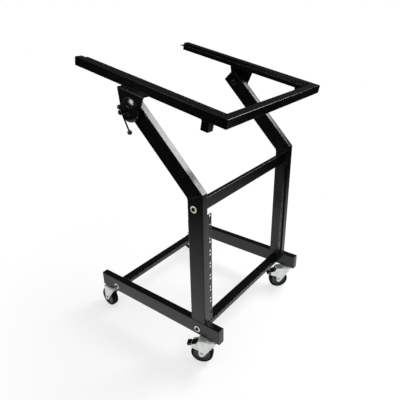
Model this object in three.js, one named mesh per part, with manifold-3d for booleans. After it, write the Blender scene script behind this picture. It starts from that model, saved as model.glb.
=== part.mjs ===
// Studio rack stand on casters: a welded lower frame with rack strips and a tilting top frame.
// Millimetres, +Z up, +X to the right, +Y to the rear. Z 0 is the floor.
import * as THREE from 'three';
import Module from 'manifold-3d';
import { mergeVertices } from 'three/addons/utils/BufferGeometryUtils.js';

const wasm = await Module();
wasm.setup();

// Driving sizes of the lower frame
const stand_width = 550;
const side_tube = { across: 25, deep: 55, wall: 1.5, corner: 3 };
const floor_rail_length = 555;
const post_setback = 57;
const post_height = 445.4;
const arm_length = 346;
const arm_rise_degrees = 45.6;
const bar_tube = { wide: 38, thin: 15, wall: 1.5, corner: 2, end_plate: 4 };
const bar_behind_post_centre = 4;
const lower_bar_below_rail_centre = 5.5;
const upper_bar_below_post_top = 39;
const rear_bar_from_rail_end = 77;
const plug = { plate: 2, depth: 16 };

// Rack strips: 19-inch practice, each rack unit with one hole near its top and one near its bottom
const rack_unit_height = 44.45;
const rack_hole = { radius: 4.2, edge_height: 6.35, edge_width: 7.55 };
const strip = { thickness: 2, leg: 18 };
const lower_strip = { width: 25, recess: 5.4, bar_gap: 4 };
const upper_strip = { below_rail_top: 6.5 };

// Top frame, which tilts on the clutches
const top_frame_length = 576;
const top_frame_inset = 0.5;
const top_tube = { size: 27, wall: 1.5, corner: 2.5 };
const frame_tilt_degrees = 11.84;
const pivot_from_arm_end = 36.5;
const pivot_below_rail = 53.6;
const pivot_from_frame_front = 317.3;
const stub = { size: 25, height: 27, wall: 1.5, corner: 2.5, from_frame_front: 64.5 };

// Clutch at each pivot, outwards from the arm
const friction_disc = { radius: 24, thickness: 10.7 };
const bracket = {
  thickness: 3, round_radius: 36, front_reach: 49.3, rear_reach: 55.7, flange: 25, bend_radius: 5,
};
const cover_disc = { radius: 36, rim: 2, height: 9, crown_radius: 17 };
const clutch_screw = { radius: 6, flange_radius: 15, flange: 3.5, head_radius: 7.5, head: 15, neck: 10 };
const pivot_nut = { across_flats: 19, height: 8, thread_reach: 2 };
const tommy = { radius: 2.4, ball_radius: 7, ball_centres: 75 };
const tommy_lean_degrees = { left: 25.5, right: -45 };

// Cross-bar screws
const screw = { radius: 4, head_radius: 6.5, head: 3.5, washer_radius: 11, washer: 1.6, reach: 14 };
const socket = { radius: 3.2, depth: 2.5 };

// Casters
const caster_inset = 40;
const caster_trail = 31;
const wheel = { radius: 37.5, width: 25, edge: 4, hub_radius: 12, hub_width: 28, dish_radius: 27, dish: 3 };
const race = { radius: 21, height: 5, edge: 1.5 };
const king_pin = { radius: 5, head_radius: 8, head: 3, thread: 14, boss_radius: 9, boss: 8 };
const fork = { thickness: 2.5, crown: 3.5, front_reach: 19, rear_reach: 30, boss_radius: 9.5, hood: 12 };
const axle = { radius: 4, head_radius: 6.5, head: 3.5, nut_radius: 6.5, nut: 4.5 };
const wheel_to_crown = 17;
const pedal = { pin_radius: 2.5, behind_axle: 17, wheel_gap: 1.2, hub_radius: 4, width: 22, thickness: 3 };
const pedal_arm = { reach: 33, fall: 8, inner_pad_share: 0.1, pad_length: 12, pad_height: 2.5, lip: 6 };
const pedal_ear = { above_pin: 5, reach: 17, tip_drop: 4.2, tip_height: 8.5, root_height: 16.5 };
const trail_turn_degrees = { left_front: 25, right_front: 43, left_rear: -6, right_rear: 10 };

// Clearances and the facets of round shapes
const seat_gap = 0.3;
const running_gap = 0.5;
const overrun = 1;
const rounding = 0.001;
const round_facets = 20;
const small_facets = 12;
const wheel_facets = 20;
const nut_sides = 6;
const corner_steps = 1;
const hole_steps = 3;
const arc_steps = 8;

// Places worked out from the driving sizes
const outer_x = stand_width / 2;
const inner_x = outer_x - side_tube.across;
const side_x = (outer_x + inner_x) / 2;
const half_depth = side_tube.deep / 2;
const caster_height = 2 * wheel.radius + wheel_to_crown + fork.crown + running_gap + race.height;
const rail_front_y = -half_depth - post_setback;
const rail_rear_y = rail_front_y + floor_rail_length;
const rail_centre_z = caster_height + half_depth;
const rail_top_z = caster_height + side_tube.deep;
const bend_z = rail_top_z + post_height;
const arm_rise = THREE.MathUtils.degToRad(arm_rise_degrees);
const frame_tilt = THREE.MathUtils.degToRad(frame_tilt_degrees);
const mitre_slope = Math.tan((Math.PI / 2 - arm_rise) / 2);
const pivot_along_arm = arm_length - pivot_from_arm_end;
const pivot_y = pivot_along_arm * Math.cos(arm_rise);
const pivot_z = bend_z + pivot_along_arm * Math.sin(arm_rise);
const lower_bar_z = rail_centre_z - lower_bar_below_rail_centre;
const upper_bar_z = bend_z - upper_bar_below_post_top;
const rear_bar_y = rail_rear_y - rear_bar_from_rail_end;
const strip_top = upper_bar_z - bar_tube.wide / 2 - lower_strip.bar_gap;
const strip_room = strip_top - lower_bar_z - bar_tube.thin / 2 - lower_strip.bar_gap;
const lower_strip_length = wholeUnits(strip_room) * rack_unit_height;
const rack_opening = 2 * (inner_x - lower_strip.width);
const rack_hole_x = rack_opening / 2 + rack_hole.edge_width;
const top_frame_width = stand_width - 2 * top_frame_inset;
const caster_y = { front: rail_front_y + caster_inset, rear: rail_rear_y - caster_inset };
const bracket_inner_x = outer_x + friction_disc.thickness + seat_gap;
const bracket_outer_x = bracket_inner_x + bracket.thickness;
const cover_outer_x = bracket_outer_x + cover_disc.height;
const screw_flange_x = cover_outer_x + seat_gap;
const screw_head_x = screw_flange_x + clutch_screw.flange + clutch_screw.neck;
const screw_end_x = screw_head_x + clutch_screw.head;
const tommy_x = screw_head_x + clutch_screw.head / 2;
const axle_z = wheel.radius - caster_height;
const pedal_pin_y = caster_trail + pedal.behind_axle;
const pedal_pin_z = axle_z + Math.sqrt((wheel.radius + pedal.wheel_gap + pedal.hub_radius) ** 2
  - pedal.behind_axle ** 2);
const clutch_hole_radius = clutch_screw.radius + seat_gap;
const screw_hole_radius = screw.radius + seat_gap;

const paint = { color: '#17181a', roughness: 0.3, metalness: 0.2 };
const finishes = {
  frame: paint,
  plug: { color: '#1c1d1f', roughness: 0.5, metalness: 0 },
  screw: { color: '#dcd8d2', roughness: 0.25, metalness: 1 },
  clutch: { color: '#141416', roughness: 0.2, metalness: 0.4 },
  friction: { color: '#2b2a28', roughness: 0.8, metalness: 0 },
  zinc: { color: '#d9ddd8', roughness: 0.3, metalness: 1 },
  wheel: { color: '#1e2021', roughness: 0.6, metalness: 0 },
  pedal: { color: '#161719', roughness: 0.5, metalness: 0 },
};

const model = new THREE.Group();

/** How many whole rack units a strip of that length has room for, rounding aside. */
function wholeUnits(length) {
  return Math.floor((length + rounding) / rack_unit_height);
}

/** Adds a mesh with its own material to a group. */
function addPiece(group, name, finish, geometry, place = {}) {
  const mesh = new THREE.Mesh(geometry, new THREE.MeshStandardMaterial(finishes[finish]));
  mesh.name = name;
  mesh.position.set(place.x ?? 0, place.y ?? 0, place.z ?? 0);
  mesh.rotation.set(place.turnX ?? 0, place.turnY ?? 0, place.turnZ ?? 0);
  group.add(mesh);
  return mesh;
}

/** Turns a closed geometry into a solid that can be joined and cut. */
function solidOf(geometry) {
  const bare = geometry.clone();
  bare.deleteAttribute('normal');
  bare.deleteAttribute('uv');
  const merged = mergeVertices(bare);
  return new wasm.Manifold(new wasm.Mesh({
    numProp: 3,
    vertProperties: Float32Array.from(merged.attributes.position.array),
    triVerts: Uint32Array.from(merged.index.array),
  }));
}

/** Turns a solid back into a geometry. */
function geometryOf(solid) {
  const mesh = solid.getMesh();
  const geometry = new THREE.BufferGeometry();
  geometry.setAttribute('position', new THREE.BufferAttribute(mesh.vertProperties, 3));
  geometry.setIndex(new THREE.BufferAttribute(mesh.triVerts, 1));
  return geometry;
}

/** Joins geometries into one and cuts others out of it. */
function shaped(joined, cuts = []) {
  let solid = solidOf(joined[0]);
  for (const extra of joined.slice(1)) {
    solid = solid.add(solidOf(extra));
  }
  for (const cut of cuts) {
    solid = solid.subtract(solidOf(cut));
  }
  return geometryOf(solid);
}

/** Traces a rectangle with rounded corners about the origin. */
function roundedRectangle(target, width, height, corner) {
  const x = width / 2 - corner;
  const y = height / 2 - corner;
  target.absarc(x, y, corner, 0, Math.PI / 2);
  target.absarc(-x, y, corner, Math.PI / 2, Math.PI);
  target.absarc(-x, -y, corner, Math.PI, 3 * Math.PI / 2);
  target.absarc(x, -y, corner, 3 * Math.PI / 2, 2 * Math.PI);
  target.closePath();
  return target;
}

/** Extrudes a shape upwards from Z 0; each arc of it gets twice as many facets as steps. */
function extruded(shape, depth, steps = corner_steps) {
  return new THREE.ExtrudeGeometry(shape, { depth, bevelEnabled: false, curveSegments: steps, steps: 1 });
}

/**
 * A rectangular tube along +Y from Y 0. startCut and endCut give how far each
 * end is moved along Y at a point (x, z) of the section, so an end can be mitred.
 */
function tubeAlongY(section, length, startCut = () => 0, endCut = () => 0) {
  const { width, height, wall, corner } = section;
  const shape = roundedRectangle(new THREE.Shape(), width, height, corner);
  if (wall) {
    const bore = roundedRectangle(new THREE.Path(), width - 2 * wall, height - 2 * wall, corner - wall);
    shape.holes.push(bore);
  }
  const geometry = extruded(shape, length).rotateX(-Math.PI / 2);
  const points = geometry.attributes.position;
  for (let i = 0; i < points.count; i += 1) {
    const cut = points.getY(i) > length / 2 ? endCut : startCut;
    points.setY(i, points.getY(i) + cut(points.getX(i), points.getZ(i)));
  }
  return geometry;
}

/** A block between two corners given as ranges. */
function block(x, y, z) {
  const size = [x, y, z].map(([low, high]) => high - low);
  const centre = [x, y, z].map(([low, high]) => (low + high) / 2);
  return new THREE.BoxGeometry(...size).translate(...centre);
}

/** A round bar along X between two places. */
function roundAlongX(radius, from, to, y = 0, z = 0, facets = small_facets) {
  return new THREE.CylinderGeometry(radius, radius, Math.abs(to - from), facets)
    .rotateZ(Math.PI / 2).translate((from + to) / 2, y, z);
}

/** A round bar along Z between two heights. */
function roundAlongZ(radius, from, to, x = 0, y = 0, facets = small_facets) {
  return new THREE.CylinderGeometry(radius, radius, Math.abs(to - from), facets)
    .rotateX(Math.PI / 2).translate(x, y, (from + to) / 2);
}

/** A turned piece about X from a list of [radius, x] steps; it starts and ends on the axis. */
function turnedAlongX(steps, facets = round_facets) {
  const points = steps.map(([radius, x]) => new THREE.Vector2(radius, x));
  return new THREE.LatheGeometry(points, facets).rotateZ(-Math.PI / 2);
}

/** A turned piece about Z from a list of [radius, z] steps. */
function turnedAlongZ(steps, facets = round_facets) {
  const points = steps.map(([radius, z]) => new THREE.Vector2(radius, z));
  return new THREE.LatheGeometry(points, facets).rotateX(Math.PI / 2);
}

/** Extrudes an outline drawn in Y and Z along X between two places. */
function plateAlongX(outline, from, to, steps) {
  return extruded(outline, to - from, steps).rotateX(Math.PI / 2).rotateZ(Math.PI / 2)
    .translate(from, 0, 0);
}

/** Mirrors a geometry that was built for the right side to the side asked for. */
function toSide(geometry, side) {
  if (side > 0) {
    return geometry;
  }
  const mirrored = geometry.clone().scale(-1, 1, 1);
  const index = mirrored.index ? Array.from(mirrored.index.array)
    : Array.from({ length: mirrored.attributes.position.count }, (_, i) => i);
  for (let i = 0; i < index.length; i += 3) {
    [index[i], index[i + 1]] = [index[i + 1], index[i]];
  }
  mirrored.setIndex(index);
  return mirrored;
}

const sides = [['left', -1], ['right', 1]];
const side_section = {
  width: side_tube.across, height: side_tube.deep, wall: side_tube.wall, corner: side_tube.corner,
};
const top_section = {
  width: top_tube.size, height: top_tube.size, wall: top_tube.wall, corner: top_tube.corner,
};

/** End plug of a tube along Y: a plate over the end and a block inside, plate towards -Y. */
function endPlug(section) {
  const plate = tubeAlongY({ ...section, wall: 0 }, plug.plate);
  const inset = 2 * (section.wall + seat_gap);
  const core = tubeAlongY({ width: section.width - inset, height: section.height - inset, wall: 0,
    corner: section.corner - section.wall }, plug.plate + plug.depth);
  return shaped([plate, core]);
}

/** Floor rail along Y with its caster bosses and holes. */
function floorRail() {
  const length = floor_rail_length - 2 * plug.plate;
  const start = rail_front_y + plug.plate;
  const tube = tubeAlongY(side_section, length).translate(0, start, rail_centre_z);
  const bosses = [];
  const cuts = [];
  for (const y of Object.values(caster_y)) {
    const boss_top = caster_height + side_tube.wall + king_pin.boss;
    bosses.push(roundAlongZ(king_pin.boss_radius, caster_height + seat_gap, boss_top, 0, y));
    cuts.push(roundAlongZ(king_pin.radius + seat_gap, caster_height - overrun, boss_top + overrun, 0, y));
  }
  for (const y of [bar_behind_post_centre, rear_bar_y]) {
    const reach = side_tube.across / 2 + overrun;
    cuts.push(roundAlongX(screw_hole_radius, -reach, reach, y, lower_bar_z));
  }
  return shaped([tube, ...bosses], cuts);
}

/** Post on the floor rail, mitred at its top, with the upper bar's screw hole. */
function post() {
  const tube = tubeAlongY(side_section, post_height, undefined, (x, z) => mitre_slope * z)
    .rotateX(Math.PI / 2).translate(0, 0, rail_top_z);
  const reach = side_tube.across / 2 + overrun;
  const hole = roundAlongX(screw_hole_radius, -reach, reach, bar_behind_post_centre, upper_bar_z);
  return shaped([tube], [hole]);
}

/** Arm along its own +Y from the mitre to its closed end, with the clutch hole. */
function arm() {
  const tube = tubeAlongY(side_section, arm_length - seat_gap, (x, z) => -mitre_slope * z)
    .translate(0, seat_gap, 0);
  const end_plate = tubeAlongY({ ...side_section, wall: 0 }, side_tube.wall)
    .translate(0, arm_length - side_tube.wall, 0);
  const reach = side_tube.across / 2 + overrun;
  return shaped([tube, end_plate], [roundAlongX(clutch_hole_radius, -reach, reach, pivot_along_arm, 0)]);
}

/** Cross bar along X with end plates that the screws thread into. */
function crossBar(section) {
  const length = 2 * inner_x;
  const outside = tubeAlongY({ ...section, wall: 0 }, length);
  const inside_section = {
    width: section.width - 2 * section.wall, height: section.height - 2 * section.wall,
    wall: 0, corner: section.corner - section.wall,
  };
  const inside = tubeAlongY(inside_section, length - 2 * bar_tube.end_plate)
    .translate(0, bar_tube.end_plate, 0);
  const bar = shaped([outside], [inside]).translate(0, -length / 2, 0).rotateZ(-Math.PI / 2);
  const reach = inner_x + overrun;
  const bores = [-1, 1].map((end) => roundAlongX(screw_hole_radius, end * reach,
    end * (inner_x - bar_tube.end_plate - overrun)));
  return shaped([bar], bores);
}

/** Shape of a strip's face: its width across X, its length along Y, rack holes in pairs. */
function stripFace(length) {
  const inner = rack_opening / 2;
  const outer = inner_x;
  const face = new THREE.Shape();
  face.moveTo(inner, 0);
  face.lineTo(outer, 0);
  face.lineTo(outer, length);
  face.lineTo(inner, length);
  face.closePath();
  const units = wholeUnits(length);
  const first = (length - units * rack_unit_height) / 2;
  for (let unit = 0; unit < units; unit += 1) {
    for (const place of [rack_hole.edge_height, rack_unit_height - rack_hole.edge_height]) {
      const hole = new THREE.Path();
      hole.absarc(rack_hole_x, first + unit * rack_unit_height + place, rack_hole.radius, 0, 2 * Math.PI);
      face.holes.push(hole);
    }
  }
  return face;
}

/** Lower rack strip: an angle on the post's inner face, its face towards the front. */
function lowerStrip() {
  const face = extruded(stripFace(lower_strip_length), strip.thickness, hole_steps).rotateX(Math.PI / 2);
  const leg = block([inner_x - strip.thickness, inner_x], [-strip.thickness, strip.leg],
    [0, lower_strip_length]);
  return shaped([face, leg]);
}

/** Upper rack strip: an angle inside the top rail, its face towards the top. */
function upperStrip() {
  const length = top_frame_length - top_tube.size - 2 * seat_gap;
  const rail_inner_x = top_frame_width / 2 - top_tube.size;
  const face = extruded(stripFace(length), strip.thickness, hole_steps);
  const trim = block([rail_inner_x, inner_x + overrun], [-overrun, length + overrun],
    [-overrun, strip.thickness + overrun]);
  const leg = block([rail_inner_x - strip.thickness, rail_inner_x], [0, length],
    [-strip.leg, strip.thickness]);
  return shaped([face, leg], [trim]);
}

/** Socket-head screw with its washer, pointing inwards along -X from the side tube's outer face. */
function barScrew() {
  const washer_top = screw.washer;
  const head_top = washer_top + screw.head;
  return turnedAlongX([
    [0, head_top - socket.depth],
    [socket.radius, head_top - socket.depth],
    [socket.radius, head_top],
    [screw.head_radius, head_top],
    [screw.head_radius, washer_top],
    [screw.washer_radius, washer_top],
    [screw.washer_radius, 0],
    [screw.radius, 0],
    [screw.radius, -side_tube.across - screw.reach],
    [0, -side_tube.across - screw.reach],
  ].reverse(), small_facets);
}

/** Side of the stand: rail, plugs, post, strip and arm. */
function addSide(name, side) {
  const x = side * side_x;
  addPiece(model, `${name}_floor_rail`, 'frame', floorRail(), { x });
  addPiece(model, `${name}_front_plug`, 'plug', endPlug(side_section),
    { x, y: rail_front_y, z: rail_centre_z });
  addPiece(model, `${name}_rear_plug`, 'plug', endPlug(side_section),
    { x, y: rail_rear_y, z: rail_centre_z, turnZ: Math.PI });
  addPiece(model, `${name}_post`, 'frame', post(), { x });
  addPiece(model, `${name}_arm`, 'frame', arm(), { x, z: bend_z, turnX: arm_rise });
  addPiece(model, `${name}_lower_rack_strip`, 'frame', toSide(lowerStrip(), side),
    { y: -half_depth + lower_strip.recess + strip.thickness, z: strip_top - lower_strip_length });
}

/** The three cross bars and the screws at their ends. */
function addCrossBars() {
  const { wide, thin, wall, corner } = bar_tube;
  const flat = { width: wide, height: thin, wall, corner };
  const upright = { width: thin, height: wide, wall, corner };
  const bars = [
    ['front_lower_cross_bar', flat, bar_behind_post_centre, lower_bar_z],
    ['rear_lower_cross_bar', flat, rear_bar_y, lower_bar_z],
    ['upper_cross_bar', upright, bar_behind_post_centre, upper_bar_z],
  ];
  for (const [name, section, y, z] of bars) {
    addPiece(model, name, 'frame', crossBar(section), { y, z });
    for (const [side_name, side] of sides) {
      addPiece(model, `${name}_${side_name}_screw`, 'screw', toSide(barScrew(), side),
        { x: side * outer_x, y, z });
    }
  }
}

/** A caster's stem: race under the rail, king pin with its head, thread in the rail's boss. */
function casterStem() {
  const crown_under = -race.height - running_gap - fork.crown;
  const head_top = crown_under - running_gap;
  return turnedAlongZ([
    [0, head_top - king_pin.head],
    [king_pin.head_radius, head_top - king_pin.head],
    [king_pin.head_radius, head_top],
    [king_pin.radius, head_top],
    [king_pin.radius, -race.height],
    [race.radius - race.edge, -race.height],
    [race.radius, -race.height + race.edge],
    [race.radius - race.edge, 0],
    [king_pin.radius, 0],
    [king_pin.radius, king_pin.thread],
    [0, king_pin.thread],
  ], small_facets);
}

/** Angle at which a line from (y, z) touches a circle about the origin, on the side that turn gives. */
function tangentAngle(y, z, radius, turn) {
  return Math.atan2(z, y) + turn * Math.acos(radius / Math.hypot(y, z));
}

/** Outline of a fork leg in Y and Z: crown, boss at the axle and, where braked, the pedal's ear. */
function forkLeg(braked) {
  const top = -race.height - running_gap;
  const leg = new THREE.Shape();
  leg.moveTo(-fork.front_reach, top);
  leg.lineTo(-fork.front_reach, top - fork.crown);
  const touch = tangentAngle(-fork.front_reach - caster_trail, top - fork.crown - axle_z,
    fork.boss_radius, 1);
  leg.absarc(caster_trail, axle_z, fork.boss_radius, touch, Math.PI * 2);
  if (braked) {
    const tip_y = pedal_pin_y + pedal_ear.reach;
    const tip_top = pedal_pin_z - pedal_ear.tip_drop;
    leg.lineTo(caster_trail + fork.boss_radius, axle_z + pedal_ear.root_height);
    leg.lineTo(tip_y, tip_top - pedal_ear.tip_height);
    leg.lineTo(tip_y, tip_top);
    leg.lineTo(pedal_pin_y, pedal_pin_z + pedal_ear.above_pin);
    leg.lineTo(caster_trail + fork.boss_radius, top);
  } else {
    leg.lineTo(caster_trail + fork.boss_radius, top - fork.hood - fork.boss_radius);
    leg.lineTo(fork.rear_reach + fork.boss_radius, top);
  }
  leg.closePath();
  return leg;
}

/** Fork about its swivel axis, trailing towards +Y, Z 0 at the rail's underside. */
function casterFork(braked) {
  const top = -race.height - running_gap;
  const inside = wheel.hub_width / 2 + running_gap;
  const outside = inside + fork.thickness;
  const outline = forkLeg(braked);
  const legs = [-outside, inside]
    .map((from) => plateAlongX(outline, from, from + fork.thickness, arc_steps / 2));
  const plate = block([-outside, outside], [-fork.front_reach, fork.rear_reach], [top - fork.crown, top]);
  const dome = roundAlongZ(race.radius, top - fork.crown, top);
  const cuts = [
    roundAlongZ(king_pin.radius + seat_gap, top - fork.crown - overrun, top + overrun),
    roundAlongX(axle.radius + seat_gap, -outside - overrun, outside + overrun, caster_trail, axle_z),
  ];
  if (braked) {
    cuts.push(roundAlongX(pedal.pin_radius + seat_gap, -outside - overrun, outside + overrun,
      pedal_pin_y, pedal_pin_z));
  }
  return shaped([dome, plate, ...legs], cuts);
}

/** Wheel about X with a dished face and a hub; a flat of its facets is at the floor. */
function casterWheel() {
  const half_facet = Math.PI / wheel_facets;
  const half = wheel.width / 2;
  const hub = wheel.hub_width / 2;
  const rim = half - wheel.dish;
  const bore = axle.radius + seat_gap;
  return turnedAlongX([
    [bore, -hub],
    [wheel.hub_radius, -hub],
    [wheel.hub_radius, -rim],
    [wheel.dish_radius, -rim],
    [wheel.dish_radius, -half],
    [wheel.radius - wheel.edge, -half],
    [wheel.radius, -half + wheel.edge],
    [wheel.radius, half - wheel.edge],
    [wheel.radius - wheel.edge, half],
    [wheel.dish_radius, half],
    [wheel.dish_radius, rim],
    [wheel.hub_radius, rim],
    [wheel.hub_radius, hub],
    [bore, hub],
    [bore, -hub],
  ], wheel_facets).rotateX(half_facet).scale(1, 1 / Math.cos(half_facet), 1 / Math.cos(half_facet));
}

/** Axle bolt along X with its head and nut outside the fork. */
function casterAxle() {
  const seat = wheel.hub_width / 2 + running_gap + fork.thickness + seat_gap;
  return turnedAlongX([
    [0, -seat - axle.head],
    [axle.head_radius, -seat - axle.head],
    [axle.head_radius, -seat],
    [axle.radius, -seat],
    [axle.radius, seat],
    [axle.nut_radius, seat],
    [axle.nut_radius, seat + axle.nut],
    [0, seat + axle.nut],
  ], small_facets);
}

/** Brake pedal about its pin: hub, sloping lever, inner pad and lipped outer pad. */
function brakePedal() {
  const half = pedal.width / 2;
  const pin_half = wheel.hub_width / 2 + running_gap + fork.thickness;
  const lever_length = Math.hypot(pedal_arm.reach, pedal_arm.fall);
  const slope = Math.atan2(pedal_arm.fall, pedal_arm.reach);
  const hub = roundAlongX(pedal.hub_radius, -half, half);
  const pin = roundAlongX(pedal.pin_radius, -pin_half, pin_half);
  const lever = block([-half, half], [0, lever_length], [-pedal.thickness / 2, pedal.thickness / 2]);
  const inner = lever_length * pedal_arm.inner_pad_share;
  const pads = [inner, lever_length - pedal_arm.pad_length].map((from) => block([-half, half],
    [from, from + pedal_arm.pad_length], [0, pedal.thickness / 2 + pedal_arm.pad_height]));
  const lip = block([-half, half], [lever_length - pedal.thickness, lever_length], [-pedal_arm.lip, 0]);
  return shaped([lever, hub, pin, ...pads, lip].map((piece) => piece.rotateX(-slope)));
}

/** A caster in its own swivelling group. */
function addCaster(corner_name, side, y, braked) {
  const place = { x: side * side_x, y, z: caster_height };
  addPiece(model, `${corner_name}_caster_stem`, 'zinc', casterStem(), place);
  const swivel = new THREE.Group();
  swivel.position.set(side * side_x, y, caster_height);
  swivel.rotation.z = THREE.MathUtils.degToRad(trail_turn_degrees[corner_name]);
  model.add(swivel);
  addPiece(swivel, `${corner_name}_caster_fork`, 'zinc', casterFork(braked));
  addPiece(swivel, `${corner_name}_caster_wheel`, 'wheel', casterWheel(), { y: caster_trail, z: axle_z });
  addPiece(swivel, `${corner_name}_caster_axle`, 'zinc', casterAxle(), { y: caster_trail, z: axle_z });
  if (braked) {
    addPiece(swivel, `${corner_name}_brake_pedal`, 'pedal', brakePedal(),
      { y: pedal_pin_y, z: pedal_pin_z });
  }
}

/** Pivot bracket: a flange under the rail, a bend and a plate that ends round about the pivot. */
function pivotBracket() {
  const top = pivot_below_rail - seat_gap;
  const rear = bracket.rear_reach;
  const front = -bracket.front_reach;
  const outline = new THREE.Shape();
  outline.moveTo(rear, top);
  outline.lineTo(front, top);
  outline.absarc(0, 0, bracket.round_radius, tangentAngle(front, top, bracket.round_radius, 1),
    tangentAngle(rear, top, bracket.round_radius, -1) + 2 * Math.PI);
  outline.closePath();
  const plate = plateAlongX(outline, bracket_inner_x - bracket.flange, bracket_outer_x, arc_steps);
  const bottom = -bracket.round_radius - overrun;
  const inner_bend = bracket.bend_radius - bracket.thickness;
  const angle = new THREE.Shape();
  const start_x = bracket_inner_x - bracket.flange;
  angle.moveTo(start_x, top - bracket.thickness);
  const bend_x = bracket_outer_x - bracket.bend_radius;
  const bend_top = top - bracket.bend_radius;
  angle.absarc(bend_x, bend_top, inner_bend, Math.PI / 2, 0, true);
  angle.lineTo(bracket_inner_x, bottom);
  angle.lineTo(bracket_outer_x, bottom);
  angle.absarc(bend_x, bend_top, bracket.bend_radius, 0, Math.PI / 2);
  angle.lineTo(start_x, top);
  angle.closePath();
  const bent = extruded(angle, rear - front, corner_steps * 2).rotateX(Math.PI / 2).translate(0, rear, 0);
  const hole = roundAlongX(clutch_hole_radius, bracket_inner_x - overrun, bracket_outer_x + overrun);
  return geometryOf(solidOf(plate).intersect(solidOf(bent)).subtract(solidOf(hole)));
}

/** Domed cover disc on the bracket's outer face, bored for the clutch screw. */
function coverDisc() {
  const bore = clutch_hole_radius;
  return turnedAlongX([
    [bore, bracket_outer_x],
    [cover_disc.radius, bracket_outer_x],
    [cover_disc.radius, bracket_outer_x + cover_disc.rim],
    [(cover_disc.radius + cover_disc.crown_radius) / 2, cover_outer_x - cover_disc.rim],
    [cover_disc.crown_radius, cover_outer_x],
    [bore, cover_outer_x],
    [bore, bracket_outer_x],
  ]);
}

/** Friction disc between the arm and the bracket. */
function frictionDisc() {
  const bore = clutch_hole_radius;
  return turnedAlongX([
    [bore, outer_x],
    [friction_disc.radius, outer_x],
    [friction_disc.radius, outer_x + friction_disc.thickness],
    [bore, outer_x + friction_disc.thickness],
    [bore, outer_x],
  ]);
}

/** Clutch screw: thread, flange, neck and the head that the tommy bar slides through. */
function clutchScrew(lean) {
  const thread_end = inner_x - pivot_nut.height - pivot_nut.thread_reach;
  const turned = turnedAlongX([
    [0, thread_end],
    [clutch_screw.radius, thread_end],
    [clutch_screw.radius, screw_flange_x],
    [clutch_screw.flange_radius, screw_flange_x],
    [clutch_screw.flange_radius, screw_flange_x + clutch_screw.flange],
    [clutch_screw.radius, screw_flange_x + clutch_screw.flange],
    [clutch_screw.radius, screw_head_x],
    [clutch_screw.head_radius, screw_head_x],
    [clutch_screw.head_radius, screw_end_x],
    [0, screw_end_x],
  ]);
  const reach = clutch_screw.head_radius + overrun;
  const cross_hole = roundAlongZ(tommy.radius + seat_gap, -reach, reach, tommy_x).rotateX(lean);
  return shaped([turned], [cross_hole]);
}

/** Hexagon nut on the arm's inner face. */
function pivotNut() {
  const corner_radius = pivot_nut.across_flats / 2 / Math.cos(Math.PI / nut_sides);
  const start = inner_x - pivot_nut.height;
  const nut = roundAlongX(corner_radius, start, inner_x, 0, 0, nut_sides);
  return shaped([nut], [roundAlongX(clutch_hole_radius, start - overrun, inner_x + overrun)]);
}

/** Tommy bar along Z with a ball at each end, resting on its upper ball. */
function tommyBar() {
  const rest = clutch_screw.head_radius + tommy.ball_radius + seat_gap;
  const upper = rest;
  const lower = rest - tommy.ball_centres;
  const neck = Math.asin(tommy.radius / tommy.ball_radius);
  const steps = [];
  const arcs = small_facets / 2;
  for (let i = 0; i <= arcs; i += 1) {
    const angle = -Math.PI / 2 + (Math.PI - neck) * (i / arcs);
    const radius = i === 0 ? 0 : tommy.ball_radius * Math.cos(angle);
    steps.push([radius, lower + tommy.ball_radius * Math.sin(angle)]);
  }
  const mirrored = steps.map(([radius, z]) => [radius, upper + lower - z]).reverse();
  return turnedAlongZ([...steps, ...mirrored], small_facets);
}

/** A pivot's clutch: the fixed and turning pieces on the arm. */
function addClutch(name, side) {
  const lean = THREE.MathUtils.degToRad(tommy_lean_degrees[name]);
  const place = { y: pivot_y, z: pivot_z };
  addPiece(model, `${name}_pivot_nut`, 'clutch', toSide(pivotNut(), side), place);
  addPiece(model, `${name}_friction_disc`, 'friction', toSide(frictionDisc(), side), place);
  addPiece(model, `${name}_clutch_screw`, 'clutch', toSide(clutchScrew(-lean), side), place);
  addPiece(model, `${name}_tommy_bar`, 'clutch', tommyBar(), { ...place, x: side * tommy_x, turnX: -lean });
}

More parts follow.
